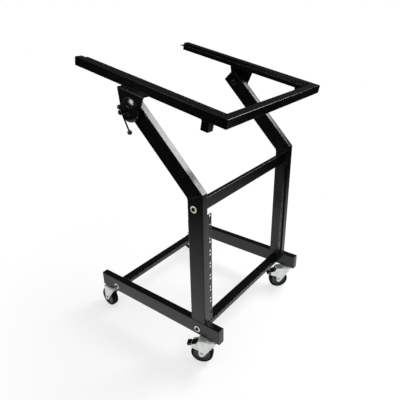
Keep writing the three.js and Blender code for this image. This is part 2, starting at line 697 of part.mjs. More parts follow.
/** The tilting top frame, in a group whose origin is the pivot. */
function addTopFrame() {
  const frame = new THREE.Group();
  frame.position.set(0, pivot_y, pivot_z);
  frame.rotation.x = frame_tilt;
  model.add(frame);
  const half = top_tube.size / 2;
  const rail_x = top_frame_width / 2 - half;
  const rail_z = pivot_below_rail + half;
  const bar_y = -pivot_from_frame_front + half;
  const rail_length = top_frame_length - half - plug.plate;
  const rail_rear = bar_y + rail_length;
  const mitre_gap = seat_gap * Math.SQRT2;
  for (const [name, side] of sides) {
    const rail = tubeAlongY(top_section, rail_length, (x) => mitre_gap - side * x);
    addPiece(frame, `${name}_top_rail`, 'frame', rail, { x: side * rail_x, y: bar_y, z: rail_z });
    addPiece(frame, `${name}_top_plug`, 'plug', endPlug(top_section),
      { x: side * rail_x, y: rail_rear + seat_gap + plug.plate, z: rail_z, turnZ: Math.PI });
    addPiece(frame, `${name}_upper_rack_strip`, 'frame', toSide(upperStrip(), side), {
      y: bar_y + half + seat_gap,
      z: pivot_below_rail + top_tube.size - upper_strip.below_rail_top - strip.thickness,
    });
    addPiece(frame, `${name}_pivot_bracket`, 'frame', toSide(pivotBracket(), side));
    addPiece(frame, `${name}_cover_disc`, 'clutch', toSide(coverDisc(), side));
    const stub_section = { width: stub.size, height: stub.size, wall: stub.wall, corner: stub.corner };
    const stub_tube = tubeAlongY(stub_section, stub.height).rotateX(-Math.PI / 2);
    addPiece(frame, `${name}_stop_stub`, 'frame', stub_tube, {
      x: side * side_x,
      y: -pivot_from_frame_front + stub.from_frame_front,
      z: pivot_below_rail - seat_gap,
    });
  }
  const bar_length = 2 * rail_x;
  const front_bar = tubeAlongY(top_section, bar_length, (x) => -x, (x) => x)
    .translate(0, -bar_length / 2, 0).rotateZ(-Math.PI / 2);
  addPiece(frame, 'top_front_bar', 'frame', front_bar, { y: bar_y, z: rail_z });
}

for (const [name, side] of sides) {
  addSide(name, side);
}
addCrossBars();
addTopFrame();
for (const [name, side] of sides) {
  addClutch(name, side);
  addCaster(`${name}_front`, side, caster_y.front, true);
  addCaster(`${name}_rear`, side, caster_y.rear, false);
}

// The origin is on the floor under the middle of the stand's box
const bounds = new THREE.Box3().setFromObject(model, true);
model.position.y = -(bounds.min.y + bounds.max.y) / 2;

export default model;
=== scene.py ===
# Looks of a studio rack stand: two welded side frames, three cross bars, rack strips,
# a tilting top frame on two hand-tightened clutches, and four casters.
# Sizes are in millimetres in the maker's own frame: Y 0 is the posts' centre, Z 0 the floor.
# Each finished mesh is moved and scaled once into the shared frame, in metres.
import logging
import math
from collections.abc import Callable, Sequence
from dataclasses import dataclass, field
from enum import Enum

import bmesh
import bpy
from mathutils import Matrix, Vector


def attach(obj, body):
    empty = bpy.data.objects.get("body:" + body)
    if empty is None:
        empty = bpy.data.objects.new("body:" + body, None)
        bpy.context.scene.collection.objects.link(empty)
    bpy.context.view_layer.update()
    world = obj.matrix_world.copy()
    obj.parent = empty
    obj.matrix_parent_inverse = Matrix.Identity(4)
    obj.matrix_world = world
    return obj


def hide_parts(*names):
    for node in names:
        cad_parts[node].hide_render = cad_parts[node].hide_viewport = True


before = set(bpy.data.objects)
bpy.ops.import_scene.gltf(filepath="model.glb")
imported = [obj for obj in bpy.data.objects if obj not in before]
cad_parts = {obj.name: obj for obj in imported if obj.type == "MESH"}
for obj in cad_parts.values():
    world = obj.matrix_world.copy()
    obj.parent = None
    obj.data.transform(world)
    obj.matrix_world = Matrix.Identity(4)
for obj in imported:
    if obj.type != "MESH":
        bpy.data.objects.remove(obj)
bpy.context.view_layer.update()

LOG = logging.getLogger("rack_stand")
METRES = 0.001
# How far every piece moves along Y to stand in the shared frame, in millimetres
FRAME_SHIFT = -194.74264434
INTO_FRAME = Matrix.Scale(METRES, 4) @ Matrix.Translation((0, FRAME_SHIFT, 0))
# Places for a shape drawn along local Z that belongs along X, and for a flat one drawn as Y and Z
ALONG_X = Matrix.Rotation(math.pi / 2, 4, "Y")
SIDE_VIEW = Matrix(((0, 0, 1, 0), (1, 0, 0, 0), (0, 1, 0, 0), (0, 0, 0, 1)))
# Points this close are one point, edges this short are dust, and a turn this small is none
SAME_POINT = 0.002
DUST = 0.001
NO_TURN = math.radians(0.5)
# How far a cutting shape stands clear of what it cuts
CLEAR = 1.0

# A point of a flat drawing or a pair of sizes, a point with its corner radius, a point in space,
# and how far a tube's end moves at a point of its section
Flat = tuple[float, float]
Corner = tuple[float, float, float]
Point = tuple[float, float, float]
Cut = Callable[[float, float], float]
# Short names of Blender's types
Mesh = bpy.types.Mesh
Tree = bpy.types.NodeTree
Socket = bpy.types.NodeSocket


class Side(Enum):
    """The two sides of the stand, by the sign of X."""

    LEFT = -1
    RIGHT = 1

    @property
    def label(self) -> str:
        """The side's name in piece names."""
        return self.name.lower()

    @property
    def mirror(self) -> Matrix:
        """The matrix that takes a shape drawn for the right side to this side."""
        return Matrix.Diagonal((self.value, 1, 1, 1))


class End(Enum):
    """The two ends of a floor rail."""

    FRONT = "front"
    REAR = "rear"


class Way(Enum):
    """How one solid acts on another."""

    CUT = "DIFFERENCE"
    JOIN = "UNION"
    MEET = "INTERSECT"


class Body(Enum):
    """The bodies of the two welded frames; the small bodies are named by their side or corner."""

    LOWER = "lower_frame"
    TOP = "top_frame"


# How far each tommy bar leans from upright and each caster is turned at rest, in degrees
TOMMY_LEANS = {Side.LEFT: 25.5, Side.RIGHT: -45.0}
CASTER_TURNS = {(Side.LEFT, End.FRONT): 25, (Side.RIGHT, End.FRONT): 43,
                (Side.LEFT, End.REAR): -6, (Side.RIGHT, End.REAR): 10}


@dataclass(frozen=True)
class StandSizes:
    """Sizes of the stand as a whole, in millimetres and radians."""

    outer_x: float = 275.0
    tube_across: float = 25.0
    tube_deep: float = 55.0
    tube_corner: float = 3.0
    wall: float = 1.5
    rail_bottom: float = 101.0
    rail_front: float = -84.5
    rail_length: float = 555.0
    post_height: float = 445.4
    arm_length: float = 346.0
    arm_rise: float = math.radians(45.6)
    frame_tilt: float = math.radians(11.84)
    pivot_along_arm: float = 309.5
    bar_y: float = 4.0
    rear_bar_y: float = 393.5
    lower_bar_z: float = 123.0
    upper_bar_z: float = 562.4
    rack_unit: float = 44.45
    rack_edge: float = 6.35
    rack_hole_x: float = 232.55
    rack_opening: float = 450.0
    seat_gap: float = 0.3

    @property
    def inner_x(self) -> float:
        """Where the side tubes' inner faces are."""
        return self.outer_x - self.tube_across

    @property
    def side_x(self) -> float:
        """Where the side tubes' middles are."""
        return self.outer_x - self.tube_across / 2

    @property
    def rail_top(self) -> float:
        """Height of the floor rails' upper faces."""
        return self.rail_bottom + self.tube_deep

    @property
    def rail_centre(self) -> float:
        """Height of the floor rails' middles."""
        return self.rail_bottom + self.tube_deep / 2

    @property
    def rail_rear(self) -> float:
        """Where the floor rails end at the rear, plugs included."""
        return self.rail_front + self.rail_length

    @property
    def bend_z(self) -> float:
        """Height of the middle of the mitre between post and arm."""
        return self.rail_top + self.post_height

    @property
    def pivot(self) -> Vector:
        """Middle of the clutches' axis."""
        along = self.pivot_along_arm
        return Vector((0, along * math.cos(self.arm_rise), self.bend_z + along * math.sin(self.arm_rise)))

    @property
    def on_pivot(self) -> Matrix:
        """Place of the tilting frame: its origin on the pivot, turned to its tilt."""
        return Matrix.Translation(self.pivot) @ Matrix.Rotation(self.frame_tilt, 4, "X")


SIZES = StandSizes()


def linear(colour: str) -> tuple[float, float, float, float]:
    """Turns an sRGB hex colour into linear red, green, blue and alpha.

    Args:
        colour: six hex digits after a hash.

    Returns:
        The linear colour with alpha 1.
    """
    parts = [int(colour[i:i + 2], 16) / 255 for i in (1, 3, 5)]
    red, green, blue = [p / 12.92 if p <= 0.04045 else ((p + 0.055) / 1.055) ** 2.4 for p in parts]
    return (red, green, blue, 1.0)


def add_node(tree: Tree, kind: str, inputs: dict | None = None, **settings) -> bpy.types.Node:
    """Adds a node, sets it and links it.

    Args:
        tree: the node tree that gets it.
        kind: the node's type name.
        inputs: for each input socket, by name or number, another node's socket or a value.
        settings: the node's own properties.

    Returns:
        The new node.
    """
    made = tree.nodes.new(kind)
    for key, value in settings.items():
        setattr(made, key, value)
    for key, value in (inputs or {}).items():
        if isinstance(value, Socket):
            tree.links.new(value, made.inputs[key])
        else:
            made.inputs[key].default_value = value
    return made


# Outlines


def rounded_rectangle(width: float, height: float, corner: float, steps: int = 6) -> list[Flat]:
    """Traces a rectangle with round corners about the origin.

    Args:
        width: size across.
        height: size upwards.
        corner: corner radius.
        steps: facets of each corner.

    Returns:
        The outline's points, anticlockwise.
    """
    points = []
    for quarter, (across, up) in enumerate(((1, 1), (-1, 1), (-1, -1), (1, -1))):
        for step in range(steps + 1):
            angle = (quarter + step / steps) * math.pi / 2
            points.append((across * (width / 2 - corner) + corner * math.cos(angle),
                           up * (height / 2 - corner) + corner * math.sin(angle)))
    return points


def fillet(corners: Sequence[Corner], closed: bool = True, steps: int = 5) -> list[Flat]:
    """Rounds the corners of an outline or of a turned profile.

    Args:
        corners: each corner's two coordinates and its radius.
        closed: whether the last corner goes on to the first.
        steps: facets of each round corner.

    Returns:
        The points of the rounded line.
    """
    points: list[Flat] = []
    last = len(corners) - 1
    for index, (u, v, radius) in enumerate(corners):
        if radius <= 0 or (not closed and index in (0, last)):
            points.append((u, v))
            continue
        here = Vector((u, v))
        before = Vector(corners[index - 1][:2]) - here
        after = Vector(corners[(index + 1) % len(corners)][:2]) - here
        half = before.angle(after) / 2
        reach = min(radius / math.tan(half), before.length * 0.49, after.length * 0.49)
        toward = (before.normalized() + after.normalized()).normalized()
        centre = here + toward * reach / math.cos(half)
        first = here + before.normalized() * reach - centre
        second = here + after.normalized() * reach - centre
        turn = math.atan2(first.x * second.y - first.y * second.x, first.dot(second))
        for step in range(steps + 1):
            arm = Matrix.Rotation(turn * step / steps, 2) @ first
            points.append((centre.x + arm.x, centre.y + arm.y))
    return points


def arc(centre: Flat, radius: float, start: float, end: float, steps: int = 24) -> list[Corner]:
    """Points of an arc as corners without a radius of their own.

    Args:
        centre: the arc's middle.
        radius: its radius.
        start: angle of its first point.
        end: angle of its last point.
        steps: number of facets.

    Returns:
        The points, ready to stand among an outline's corners.
    """
    angles = [start + (end - start) * step / steps for step in range(steps + 1)]
    return [(centre[0] + radius * math.cos(a), centre[1] + radius * math.sin(a), 0) for a in angles]


def polygon(radius: float, sides: int, turn: float = 0.0) -> list[Flat]:
    """Gives the corners of a regular polygon about the origin, the first one turned from X."""
    angles = [turn + 2 * math.pi / sides * i for i in range(sides)]
    return [(radius * math.cos(a), radius * math.sin(a)) for a in angles]


def tangent(point: Flat, radius: float, turn: int) -> float:
    """Angle at which a line from a point touches a circle about the origin.

    Args:
        point: where the line starts.
        radius: the circle's radius.
        turn: which of the two lines, by its sign.

    Returns:
        The angle of the touching point.
    """
    return math.atan2(point[1], point[0]) + turn * math.acos(radius / math.hypot(*point))


# Solids


class Blank:
    """A solid in the making, in millimetres."""

    def __init__(self) -> None:
        """Starts with nothing in it."""
        self.shape = bmesh.new()

    def skin(self, rings: Sequence[Sequence[Vector]], place: Matrix = Matrix(),
             loop: bool = False) -> "Blank":
        """Stretches a closed skin over rings of points.

        Args:
            rings: rings with the same number of points each.
            place: where the shape goes.
            loop: whether the last ring joins the first; otherwise both are capped.

        Returns:
            The blank itself.
        """
        made = [[self.shape.verts.new(place @ point) for point in ring] for ring in rings]
        pairs = list(zip(made, made[1:])) + ([(made[-1], made[0])] if loop else [])
        faces = []
        for low, high in pairs:
            for i in range(len(low)):
                j = (i + 1) % len(low)
                faces.append(self.shape.faces.new((low[i], low[j], high[j], high[i])))
        if not loop:
            faces.append(self.shape.faces.new(list(reversed(made[0]))))
            faces.append(self.shape.faces.new(made[-1]))
        bmesh.ops.recalc_face_normals(self.shape, faces=faces)
        return self

    def plate(self, outline: Sequence[Flat], low: float, high: float, place: Matrix = Matrix()) -> "Blank":
        """Adds a plate with an outline, between two heights along local Z."""
        rings = [[Vector((u, v, level)) for u, v in outline] for level in (low, high)]
        return self.skin(rings, place)

    def box(self, x: Flat, y: Flat, z: Flat, place: Matrix = Matrix()) -> "Blank":
        """Adds a block given by its ranges along the three axes."""
        outline = [(x[0], y[0]), (x[1], y[0]), (x[1], y[1]), (x[0], y[1])]
        return self.plate(outline, z[0], z[1], place)

    def turned(self, profile: Sequence[Flat], place: Matrix = Matrix(), loop: bool = False,
               facets: int = 48) -> "Blank":
        """Adds a turned shape about local Z.

        Args:
            profile: radius and height of each point; no radius is zero.
            place: where the shape goes.
            loop: whether the profile is closed, so that the shape has a bore.
            facets: number of facets round it.

        Returns:
            The blank itself.
        """
        angles = [2 * math.pi * i / facets for i in range(facets)]
        rings = [[Vector((r * math.cos(a), r * math.sin(a), z)) for a in angles] for r, z in profile]
        return self.skin(rings, place, loop)

    def tube(self, section: Flat, corner: float, wall: float, length: float, place: Matrix = Matrix(),
             start: Cut = lambda x, z: 0.0, end: Cut = lambda x, z: 0.0) -> "Blank":
        """Adds a rectangular tube along local Y with ends that may be mitred.

        Args:
            section: width and height of the section.
            corner: its outer corner radius.
            wall: its wall thickness.
            length: length along Y before the cuts.
            place: where the tube goes.
            start: how far the near end moves at a point of the section.
            end: how far the far end moves.

        Returns:
            The blank itself.
        """
        width, height = section
        outer = rounded_rectangle(width, height, corner)
        inner = rounded_rectangle(width - 2 * wall, height - 2 * wall, max(corner - wall, 0.4))
        near = [[Vector((x, start(x, z), z)) for x, z in line] for line in (outer, inner)]
        far = [[Vector((x, length + end(x, z), z)) for x, z in line] for line in (outer, inner)]
        return self.skin([near[0], far[0], far[1], near[1]], place, loop=True)

    def bevel(self, width: float, steps: int = 2, angle: float = 35.0) -> "Blank":
        """Rounds the sharp edges.

        Args:
            width: width of the rounding.
            steps: its facets.
            angle: an edge that turns by more than this, in degrees, is rounded.

        Returns:
            The blank itself.
        """
        edges = [e for e in self.shape.edges
                 if len(e.link_faces) == 2 and e.calc_face_angle(0) > math.radians(angle)]
        bmesh.ops.bevel(self.shape, geom=edges, offset=width, offset_type="OFFSET", segments=steps,
                        profile=0.5, affect="EDGES", clamp_overlap=True)
        bmesh.ops.dissolve_degenerate(self.shape, dist=DUST, edges=self.shape.edges)
        return self

    def move(self, place: Matrix) -> "Blank":
        """Moves the whole blank; a mirroring place keeps its faces outward.

        Args:
            place: where it goes.

        Returns:
            The blank itself.
        """
        self.shape.transform(place)
        if place.determinant() < 0:
            bmesh.ops.reverse_faces(self.shape, faces=self.shape.faces)
        return self

    def combine(self, other: "Blank", way: Way) -> "Blank":
        """Cuts, joins or meets this solid with another one.

        Args:
            other: the other solid, used up by this.
            way: what is done.

        Returns:
            The blank itself, with the result as its shape.
        """
        kept, tool = temporary(self.mesh("kept")), temporary(other.mesh("tool"))
        change = kept.modifiers.new("combine", "BOOLEAN")
        change.operation, change.solver, change.object = way.value, "EXACT", tool
        result = evaluated_mesh(kept)
        for thing in (kept, tool):
            discard(thing)
        self.shape = bmesh.new()
        self.shape.from_mesh(result)
        bpy.data.meshes.remove(result)
        bmesh.ops.remove_doubles(self.shape, verts=self.shape.verts, dist=SAME_POINT)
        bmesh.ops.dissolve_limit(self.shape, angle_limit=NO_TURN, verts=self.shape.verts,
                                 edges=self.shape.edges)
        return self

    def mesh(self, name: str) -> Mesh:
        """Gives the shape as a mesh and uses the blank up.

        Args:
            name: the mesh's name.

        Returns:
            The mesh.
        """
        made = bpy.data.meshes.new(name)
        self.shape.to_mesh(made)
        self.shape.free()
        return made


def temporary(mesh: Mesh) -> bpy.types.Object:
    """Puts a mesh in the scene as an object.

    Args:
        mesh: the mesh.

    Returns:
        The object, which is there until it is discarded.
    """
    thing = bpy.data.objects.new(mesh.name, mesh)
    bpy.context.scene.collection.objects.link(thing)
    return thing


def discard(thing: bpy.types.Object) -> None:
    """Removes a temporary object and its mesh.

    Args:
        thing: the object.
    """
    mesh = thing.data
    bpy.data.objects.remove(thing)
    bpy.data.meshes.remove(mesh)


def evaluated_mesh(thing: bpy.types.Object) -> Mesh:
    """Gives an object's mesh with its modifiers worked in.

    Args:
        thing: the object.

    Returns:
        A new plain mesh.
    """
    bpy.context.view_layer.update()
    graph = bpy.context.evaluated_depsgraph_get()
    return bpy.data.meshes.new_from_object(thing.evaluated_get(graph), preserve_all_data_layers=True,
                                           depsgraph=graph)


# Finishes


@dataclass(frozen=True)
class Finish:
    """A surface finish with fine grain, uneven tone, uneven gloss and lighter edges: worn, and on the clutch
    steel also a painted highlight.
    """

    name: str
    slot: str
    colour: str
    tone: str
    # Colour of the edges: worn paint or plating, and on the clutch steel a painted highlight as well
    worn: str
    roughness: Flat
    metallic: float = 0.0
    specular: float = 0.5
    grain_mm: float = 1.2
    grain_depth_mm: float = 0.02
    tone_mm: float = 45.0
    wear_mm: float = 0.8
    wear_share: float = 0.3
    wear_patch_mm: float = 14.0
    stretch: Point = (1.0, 1.0, 1.0)
    tone_range: Flat = (0.35, 0.65)
    gloss_range: Flat = (0.3, 0.7)
    patch_range: Flat = (0.45, 0.62)
    edge_range: Flat = (0.985, 0.9)

    def build(self) -> bpy.types.Material:
        """Makes the material.

        Returns:
            The node material.
        """
        material = bpy.data.materials.new(self.name)
        material.use_nodes = True
        tree = material.node_tree
        tree.nodes.clear()
        place = add_node(tree, "ShaderNodeTexCoord").outputs["Object"]
        tone = self.noise(tree, place, self.tone_mm, 3.0)
        gloss = self.noise(tree, place, self.tone_mm / 3, 5.0)
        blotches = self.spread(tree, tone, self.tone_range)
        colour = add_node(tree, "ShaderNodeMix", {0: blotches, 6: linear(self.colour), 7: linear(self.tone)},
                          data_type="RGBA")
        # Edges take the edge colour: wear, and on the clutch steel a painted highlight ring
        edge = self.worn_edge(tree, place)
        painted = add_node(tree, "ShaderNodeMix", {0: edge, 6: colour.outputs[2], 7: linear(self.worn)},
                           data_type="RGBA")
        rough = add_node(tree, "ShaderNodeMapRange", {
            "Value": gloss, 1: self.gloss_range[0], 2: self.gloss_range[1], 3: self.roughness[0],
            4: self.roughness[1]})
        bump = add_node(tree, "ShaderNodeBump", {"Height": self.grain(tree, place), "Strength": 1.0,
                                                 "Distance": self.grain_depth_mm * METRES})
        shader = add_node(tree, "ShaderNodeBsdfPrincipled", {
            "Base Color": painted.outputs[2], "Roughness": rough.outputs[0], "Normal": bump.outputs[0],
            "Metallic": self.metallic, "Specular IOR Level": self.specular})
        add_node(tree, "ShaderNodeOutputMaterial", {"Surface": shader.outputs[0]})
        return material

    def noise(self, tree: Tree, place: Socket, size_mm: float, detail: float) -> Socket:
        """Adds a noise.

        Args:
            tree: the material's tree.
            place: the point on the piece.
            size_mm: about how large its blotches are.
            detail: how many finer noises lie over it.

        Returns:
            The noise's value.
        """
        stretched = add_node(tree, "ShaderNodeMapping", {"Vector": place, "Scale": self.stretch})
        made = add_node(tree, "ShaderNodeTexNoise", {"Vector": stretched.outputs[0], "Detail": detail,
                                                     "Scale": 1 / (size_mm * METRES)})
        return made.outputs[0]

    def spread(self, tree: Tree, value: Socket, part: Flat) -> Socket:
        """Spreads the part of a value between two others over 0 to 1."""
        return add_node(tree, "ShaderNodeMapRange", {"Value": value, 1: part[0], 2: part[1]}).outputs[0]

    def grain(self, tree: Tree, place: Socket) -> Socket:
        """Returns the height of the fine surface grain."""
        return self.noise(tree, place, self.grain_mm, 2.0)

    def worn_edge(self, tree: Tree, place: Socket) -> Socket:
        """Finds the edges that take the edge colour, worn and on the clutch steel also a painted highlight:
        broken stretches along the sharp ones.

        Args:
            tree: the material's tree.
            place: the point on the piece.

        Returns:
            How much each point takes of the edge colour: wear, and on the clutch steel a painted highlight.
        """
        bevelled = add_node(tree, "ShaderNodeBevel", {"Radius": self.wear_mm * METRES}, samples=4)
        facing = add_node(tree, "ShaderNodeNewGeometry").outputs["Normal"]
        turn = add_node(tree, "ShaderNodeVectorMath", {0: bevelled.outputs[0], 1: facing},
                        operation="DOT_PRODUCT")
        near_edge = add_node(tree, "ShaderNodeMapRange", {
            "Value": turn.outputs["Value"], 1: self.edge_range[0], 2: self.edge_range[1], 3: 0.0,
            4: self.wear_share})
        patches = self.spread(tree, self.noise(tree, place, self.wear_patch_mm, 4.0), self.patch_range)
        return add_node(tree, "ShaderNodeMath", {0: near_edge.outputs[0], 1: patches},
                        operation="MULTIPLY").outputs[0]


@dataclass(frozen=True)
class PowderCoat(Finish):
    """Powder coat: sprayed and baked, semi-gloss, with the low waves of orange peel."""

    def grain(self, tree: Tree, place: Socket) -> Socket:
        """Makes orange peel: rounded cells about the grain's size.

        Args:
            tree: the material's tree.
            place: the point on the piece.

        Returns:
            The height of the surface.
        """
        cells = add_node(tree, "ShaderNodeTexVoronoi", {"Vector": place, "Smoothness": 1.0,
                                                        "Scale": 1 / (self.grain_mm * METRES)},
                         feature="SMOOTH_F1")
        return cells.outputs["Distance"]


@dataclass(frozen=True)
class PlatedSteel(Finish):
    """Zinc-plated or blackened steel: a very fine grain and a cloudy tone."""


@dataclass(frozen=True)
class Moulded(Finish):
    """Moulded plastic, rubber or fibre: the fine grain of the mould."""


# Semi-gloss black powder coat; its peel is drawn at 2 mm, a little coarser than the real 1 mm
FRAME_PAINT = PowderCoat("black_powder_coat", "frame_paint", "#040405", "#08080a", "#242528", (0.2, 0.28),
                         specular=0.4, grain_mm=2.0, grain_depth_mm=0.008, wear_share=0.35)
# Injection-moulded polyethylene end plugs, a little softer in gloss than the paint
PLUG_PLASTIC = Moulded("moulded_polyethylene", "plug_plastic", "#1c1d1f", "#222326", "#3a3b3d", (0.35, 0.5),
                       grain_mm=0.9, grain_depth_mm=0.015)
# Bright zinc-plated washers, a little warm, with the soft sheen of tumbled stampings
WASHER_ZINC = PlatedSteel("bright_zinc_plated_steel", "screw_steel", "#f2eee2", "#e2ddce", "#fbfaf4",
                          (0.34, 0.46), metallic=0.15, grain_mm=0.6, grain_depth_mm=0.006, tone_mm=9.0)
# Oil-blackened screw heads, dark with a faint sheen
SCREW_STEEL = PlatedSteel("blackened_steel", "screw_steel", "#34332f", "#46433d", "#8a867c", (0.25, 0.38),
                          metallic=1.0, grain_mm=0.6, grain_depth_mm=0.004, tone_mm=6.0, wear_share=0.6)
# Gloss black enamelled turned steel of the clutches; its pale turned edges are partly rubbed bright by hands
# and partly a painted highlight ring
BLACK_STEEL = Finish("black_enamelled_steel", "black_steel", "#08080a", "#0d0d10", "#a4a6aa", (0.1, 0.17),
                     specular=0.7, grain_mm=1.5, grain_depth_mm=0.004, wear_mm=1.2, wear_share=0.75)
# Pressed friction lining: matt, with fibres
FRICTION_LINING = Moulded("pressed_fibre_lining", "friction_lining", "#2b2a28", "#3a3632", "#4b4742",
                          (0.75, 0.9), grain_mm=0.7, grain_depth_mm=0.08, tone_mm=4.0,
                          stretch=(1.0, 0.3, 1.0))
# Bright zinc-plated pressed steel of the casters, its plating clouded so that part of it scatters
BRIGHT_ZINC = PlatedSteel("bright_zinc_pressed_steel", "bright_zinc", "#e2e5e0", "#cdd2d0", "#f2f3f1",
                          (0.24, 0.4), metallic=0.55, grain_mm=1.0, grain_depth_mm=0.006, tone_mm=12.0)
# Thermoplastic rubber tyre, dull, a little scuffed at its shoulders
TYRE_RUBBER = Moulded("thermoplastic_rubber", "wheel_rubber", "#060707", "#0b0b0b", "#1e1d1c", (0.55, 0.75),
                      specular=0.07, grain_mm=0.9, grain_depth_mm=0.03, tone_mm=11.0, wear_mm=1.6)
# Grey polypropylene wheel core
CORE_PLASTIC = Moulded("grey_polypropylene", "wheel_rubber", "#1b1d1d", "#232525", "#343636", (0.4, 0.55),
                       grain_mm=0.8, grain_depth_mm=0.012, tone_mm=16.0)
# Black nylon brake pedal
PEDAL_PLASTIC = Moulded("black_nylon", "pedal_plastic", "#0c0c0d", "#121314", "#2c2d2e", (0.35, 0.5),
                        grain_mm=0.8, grain_depth_mm=0.015)


class Wardrobe:
    """Makes each finish's material once and hands it out."""

    def __init__(self) -> None:
        """Starts with no materials made."""
        self.made: dict[str, bpy.types.Material] = {}

    def material(self, finish: Finish) -> bpy.types.Material:
        """Gives a finish's material, making it the first time.

        Args:
            finish: the finish.

        Returns:
            Its material.
        """
        if finish.name not in self.made:
            self.made[finish.name] = finish.build()
        return self.made[finish.name]


WARDROBE = Wardrobe()


def finish_piece(mesh: Mesh, name: str, body: str, finish: Finish, nodes: Sequence[str] = (),
                 sharp_degrees: float = 40.0) -> bpy.types.Object:
    """Puts a finished mesh into the shared frame as a piece of the object.

    Args:
        mesh: the mesh, in millimetres in the maker's frame.
        name: the piece's name.
        body: the body that it rides on.
        finish: its surface finish.
        nodes: the CAD nodes that it stands for.
        sharp_degrees: edges that turn by more than this stay sharp.

    Returns:
        The piece's object.
    """
    mesh.transform(INTO_FRAME)
    mesh.shade_smooth()
    mesh.set_sharp_from_angle(angle=math.radians(sharp_degrees))
    draft = temporary(mesh)
    evened = draft.modifiers.new("even_normals", "WEIGHTED_NORMAL")
    evened.keep_sharp = True
    final = evaluated_mesh(draft)
    discard(draft)
    title = f"{name}_finished" if name in nodes else name
    final.name = title
    final.materials.clear()
    final.materials.append(WARDROBE.material(finish))
    piece = bpy.data.objects.new(title, final)
    bpy.context.scene.collection.objects.link(piece)
    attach(piece, body)
    if nodes:
        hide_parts(*nodes)
    LOG.info("%s rides on %s with %d faces", name, body, len(final.polygons))
    return piece


# Trees


class GeometryTree:
    """A Geometry Nodes tree with named inputs that turns one mesh into another."""

    def __init__(self, name: str, inputs: dict[str, str]) -> None:
        """Makes the tree with its inputs.

        Args:
            name: the tree's name.
            inputs: the socket type of each named input after the geometry.
        """
        self.tree = bpy.data.node_groups.new(name, "GeometryNodeTree")
        face = self.tree.interface
        face.new_socket("Geometry", in_out="INPUT", socket_type="NodeSocketGeometry")
        face.new_socket("Geometry", in_out="OUTPUT", socket_type="NodeSocketGeometry")
        self.keys = {label: face.new_socket(label, in_out="INPUT", socket_type=kind).identifier
                     for label, kind in {**inputs, "Material": "NodeSocketMaterial"}.items()}
        self.entry = add_node(self.tree, "NodeGroupInput").outputs

    def add(self, kind: str, inputs: dict | None = None, **settings) -> Socket:
        """Adds a node to the tree and returns its first output."""
        return add_node(self.tree, kind, inputs, **settings).outputs[0]

    def close(self, geometry: Socket) -> None:
        """Ends the tree: instances are made real and get the material.

        Args:
            geometry: what the tree has made.
        """
        real = self.add("GeometryNodeRealizeInstances", {"Geometry": geometry})
        smooth = self.add("GeometryNodeSetShadeSmooth", {"Geometry": real})
        dressed = self.add("GeometryNodeSetMaterial", {"Geometry": smooth,
                                                       "Material": self.entry["Material"]})
        add_node(self.tree, "NodeGroupOutput", {"Geometry": dressed})

    def run(self, mesh: Mesh, finish: Finish, **values) -> Mesh:
        """Runs the tree on a mesh.

        Args:
            mesh: what the tree starts from, used up by this.
            finish: the finish of the result.
            values: each named input's value, with underscores for spaces.

        Returns:
            A plain mesh.
        """
        start = temporary(mesh)
        step = start.modifiers.new(self.tree.name, "NODES")
        step.node_group = self.tree
        for label, value in {**values, "Material": WARDROBE.material(finish)}.items():
            step[self.keys[label.replace("_", " ")]] = value
        made = evaluated_mesh(start)
        start.modifiers.remove(step)
        discard(start)
        return made


class WeldTree(GeometryTree):
    """Lays the overlapping ripples of a weld bead along lines."""

    def __init__(self) -> None:
        """Builds the tree."""
        super().__init__("weld_bead", {"Pitch": "NodeSocketFloat", "Radius": "NodeSocketFloat",
                                       "Stretch": "NodeSocketVector"})
        line = self.add("GeometryNodeMeshToCurve", {"Mesh": self.entry["Geometry"]})
        points = self.add("GeometryNodeResampleCurve", {"Curve": line, "Length": self.entry["Pitch"]},
                          mode="LENGTH")
        ball = self.add("GeometryNodeMeshUVSphere", {"Segments": 8, "Rings": 5,
                                                     "Radius": self.entry["Radius"]})
        ripple = self.add("GeometryNodeTransform", {"Geometry": ball, "Scale": self.entry["Stretch"]})
        turn = self.add("FunctionNodeAlignRotationToVector", {"Vector": self.add("GeometryNodeInputTangent")},
                        axis="Z")
        self.close(self.add("GeometryNodeInstanceOnPoints", {"Points": points, "Instance": ripple,
                                                             "Rotation": turn}))


class RackHoleTree(GeometryTree):
    """Punches a rack strip's hole pairs, one pair for each rack unit."""

    def __init__(self) -> None:
        """Builds the tree."""
        super().__init__("rack_holes", {"Punch": "NodeSocketObject", "Units": "NodeSocketInt",
                                        "Unit": "NodeSocketVector", "Start": "NodeSocketVector",
                                        "Low": "NodeSocketVector", "High": "NodeSocketVector"})
        info = add_node(self.tree, "GeometryNodeObjectInfo", {"Object": self.entry["Punch"]})
        punch = info.outputs["Geometry"]
        pair = [self.add("GeometryNodeTransform", {"Geometry": punch, "Translation": self.entry[end]})
                for end in ("Low", "High")]
        both = add_node(self.tree, "GeometryNodeJoinGeometry")
        for half in pair:
            self.tree.links.new(half, both.inputs[0])
        row = self.add("GeometryNodeMeshLine", {"Count": self.entry["Units"], "Offset": self.entry["Unit"],
                                                "Start Location": self.entry["Start"]})
        placed = self.add("GeometryNodeInstanceOnPoints", {"Points": row, "Instance": both.outputs[0]})
        punches = self.add("GeometryNodeRealizeInstances", {"Geometry": placed})
        self.close(self.add("GeometryNodeMeshBoolean", {"Mesh 1": self.entry["Geometry"], "Mesh 2": punches},
                            operation="DIFFERENCE", solver="EXACT"))


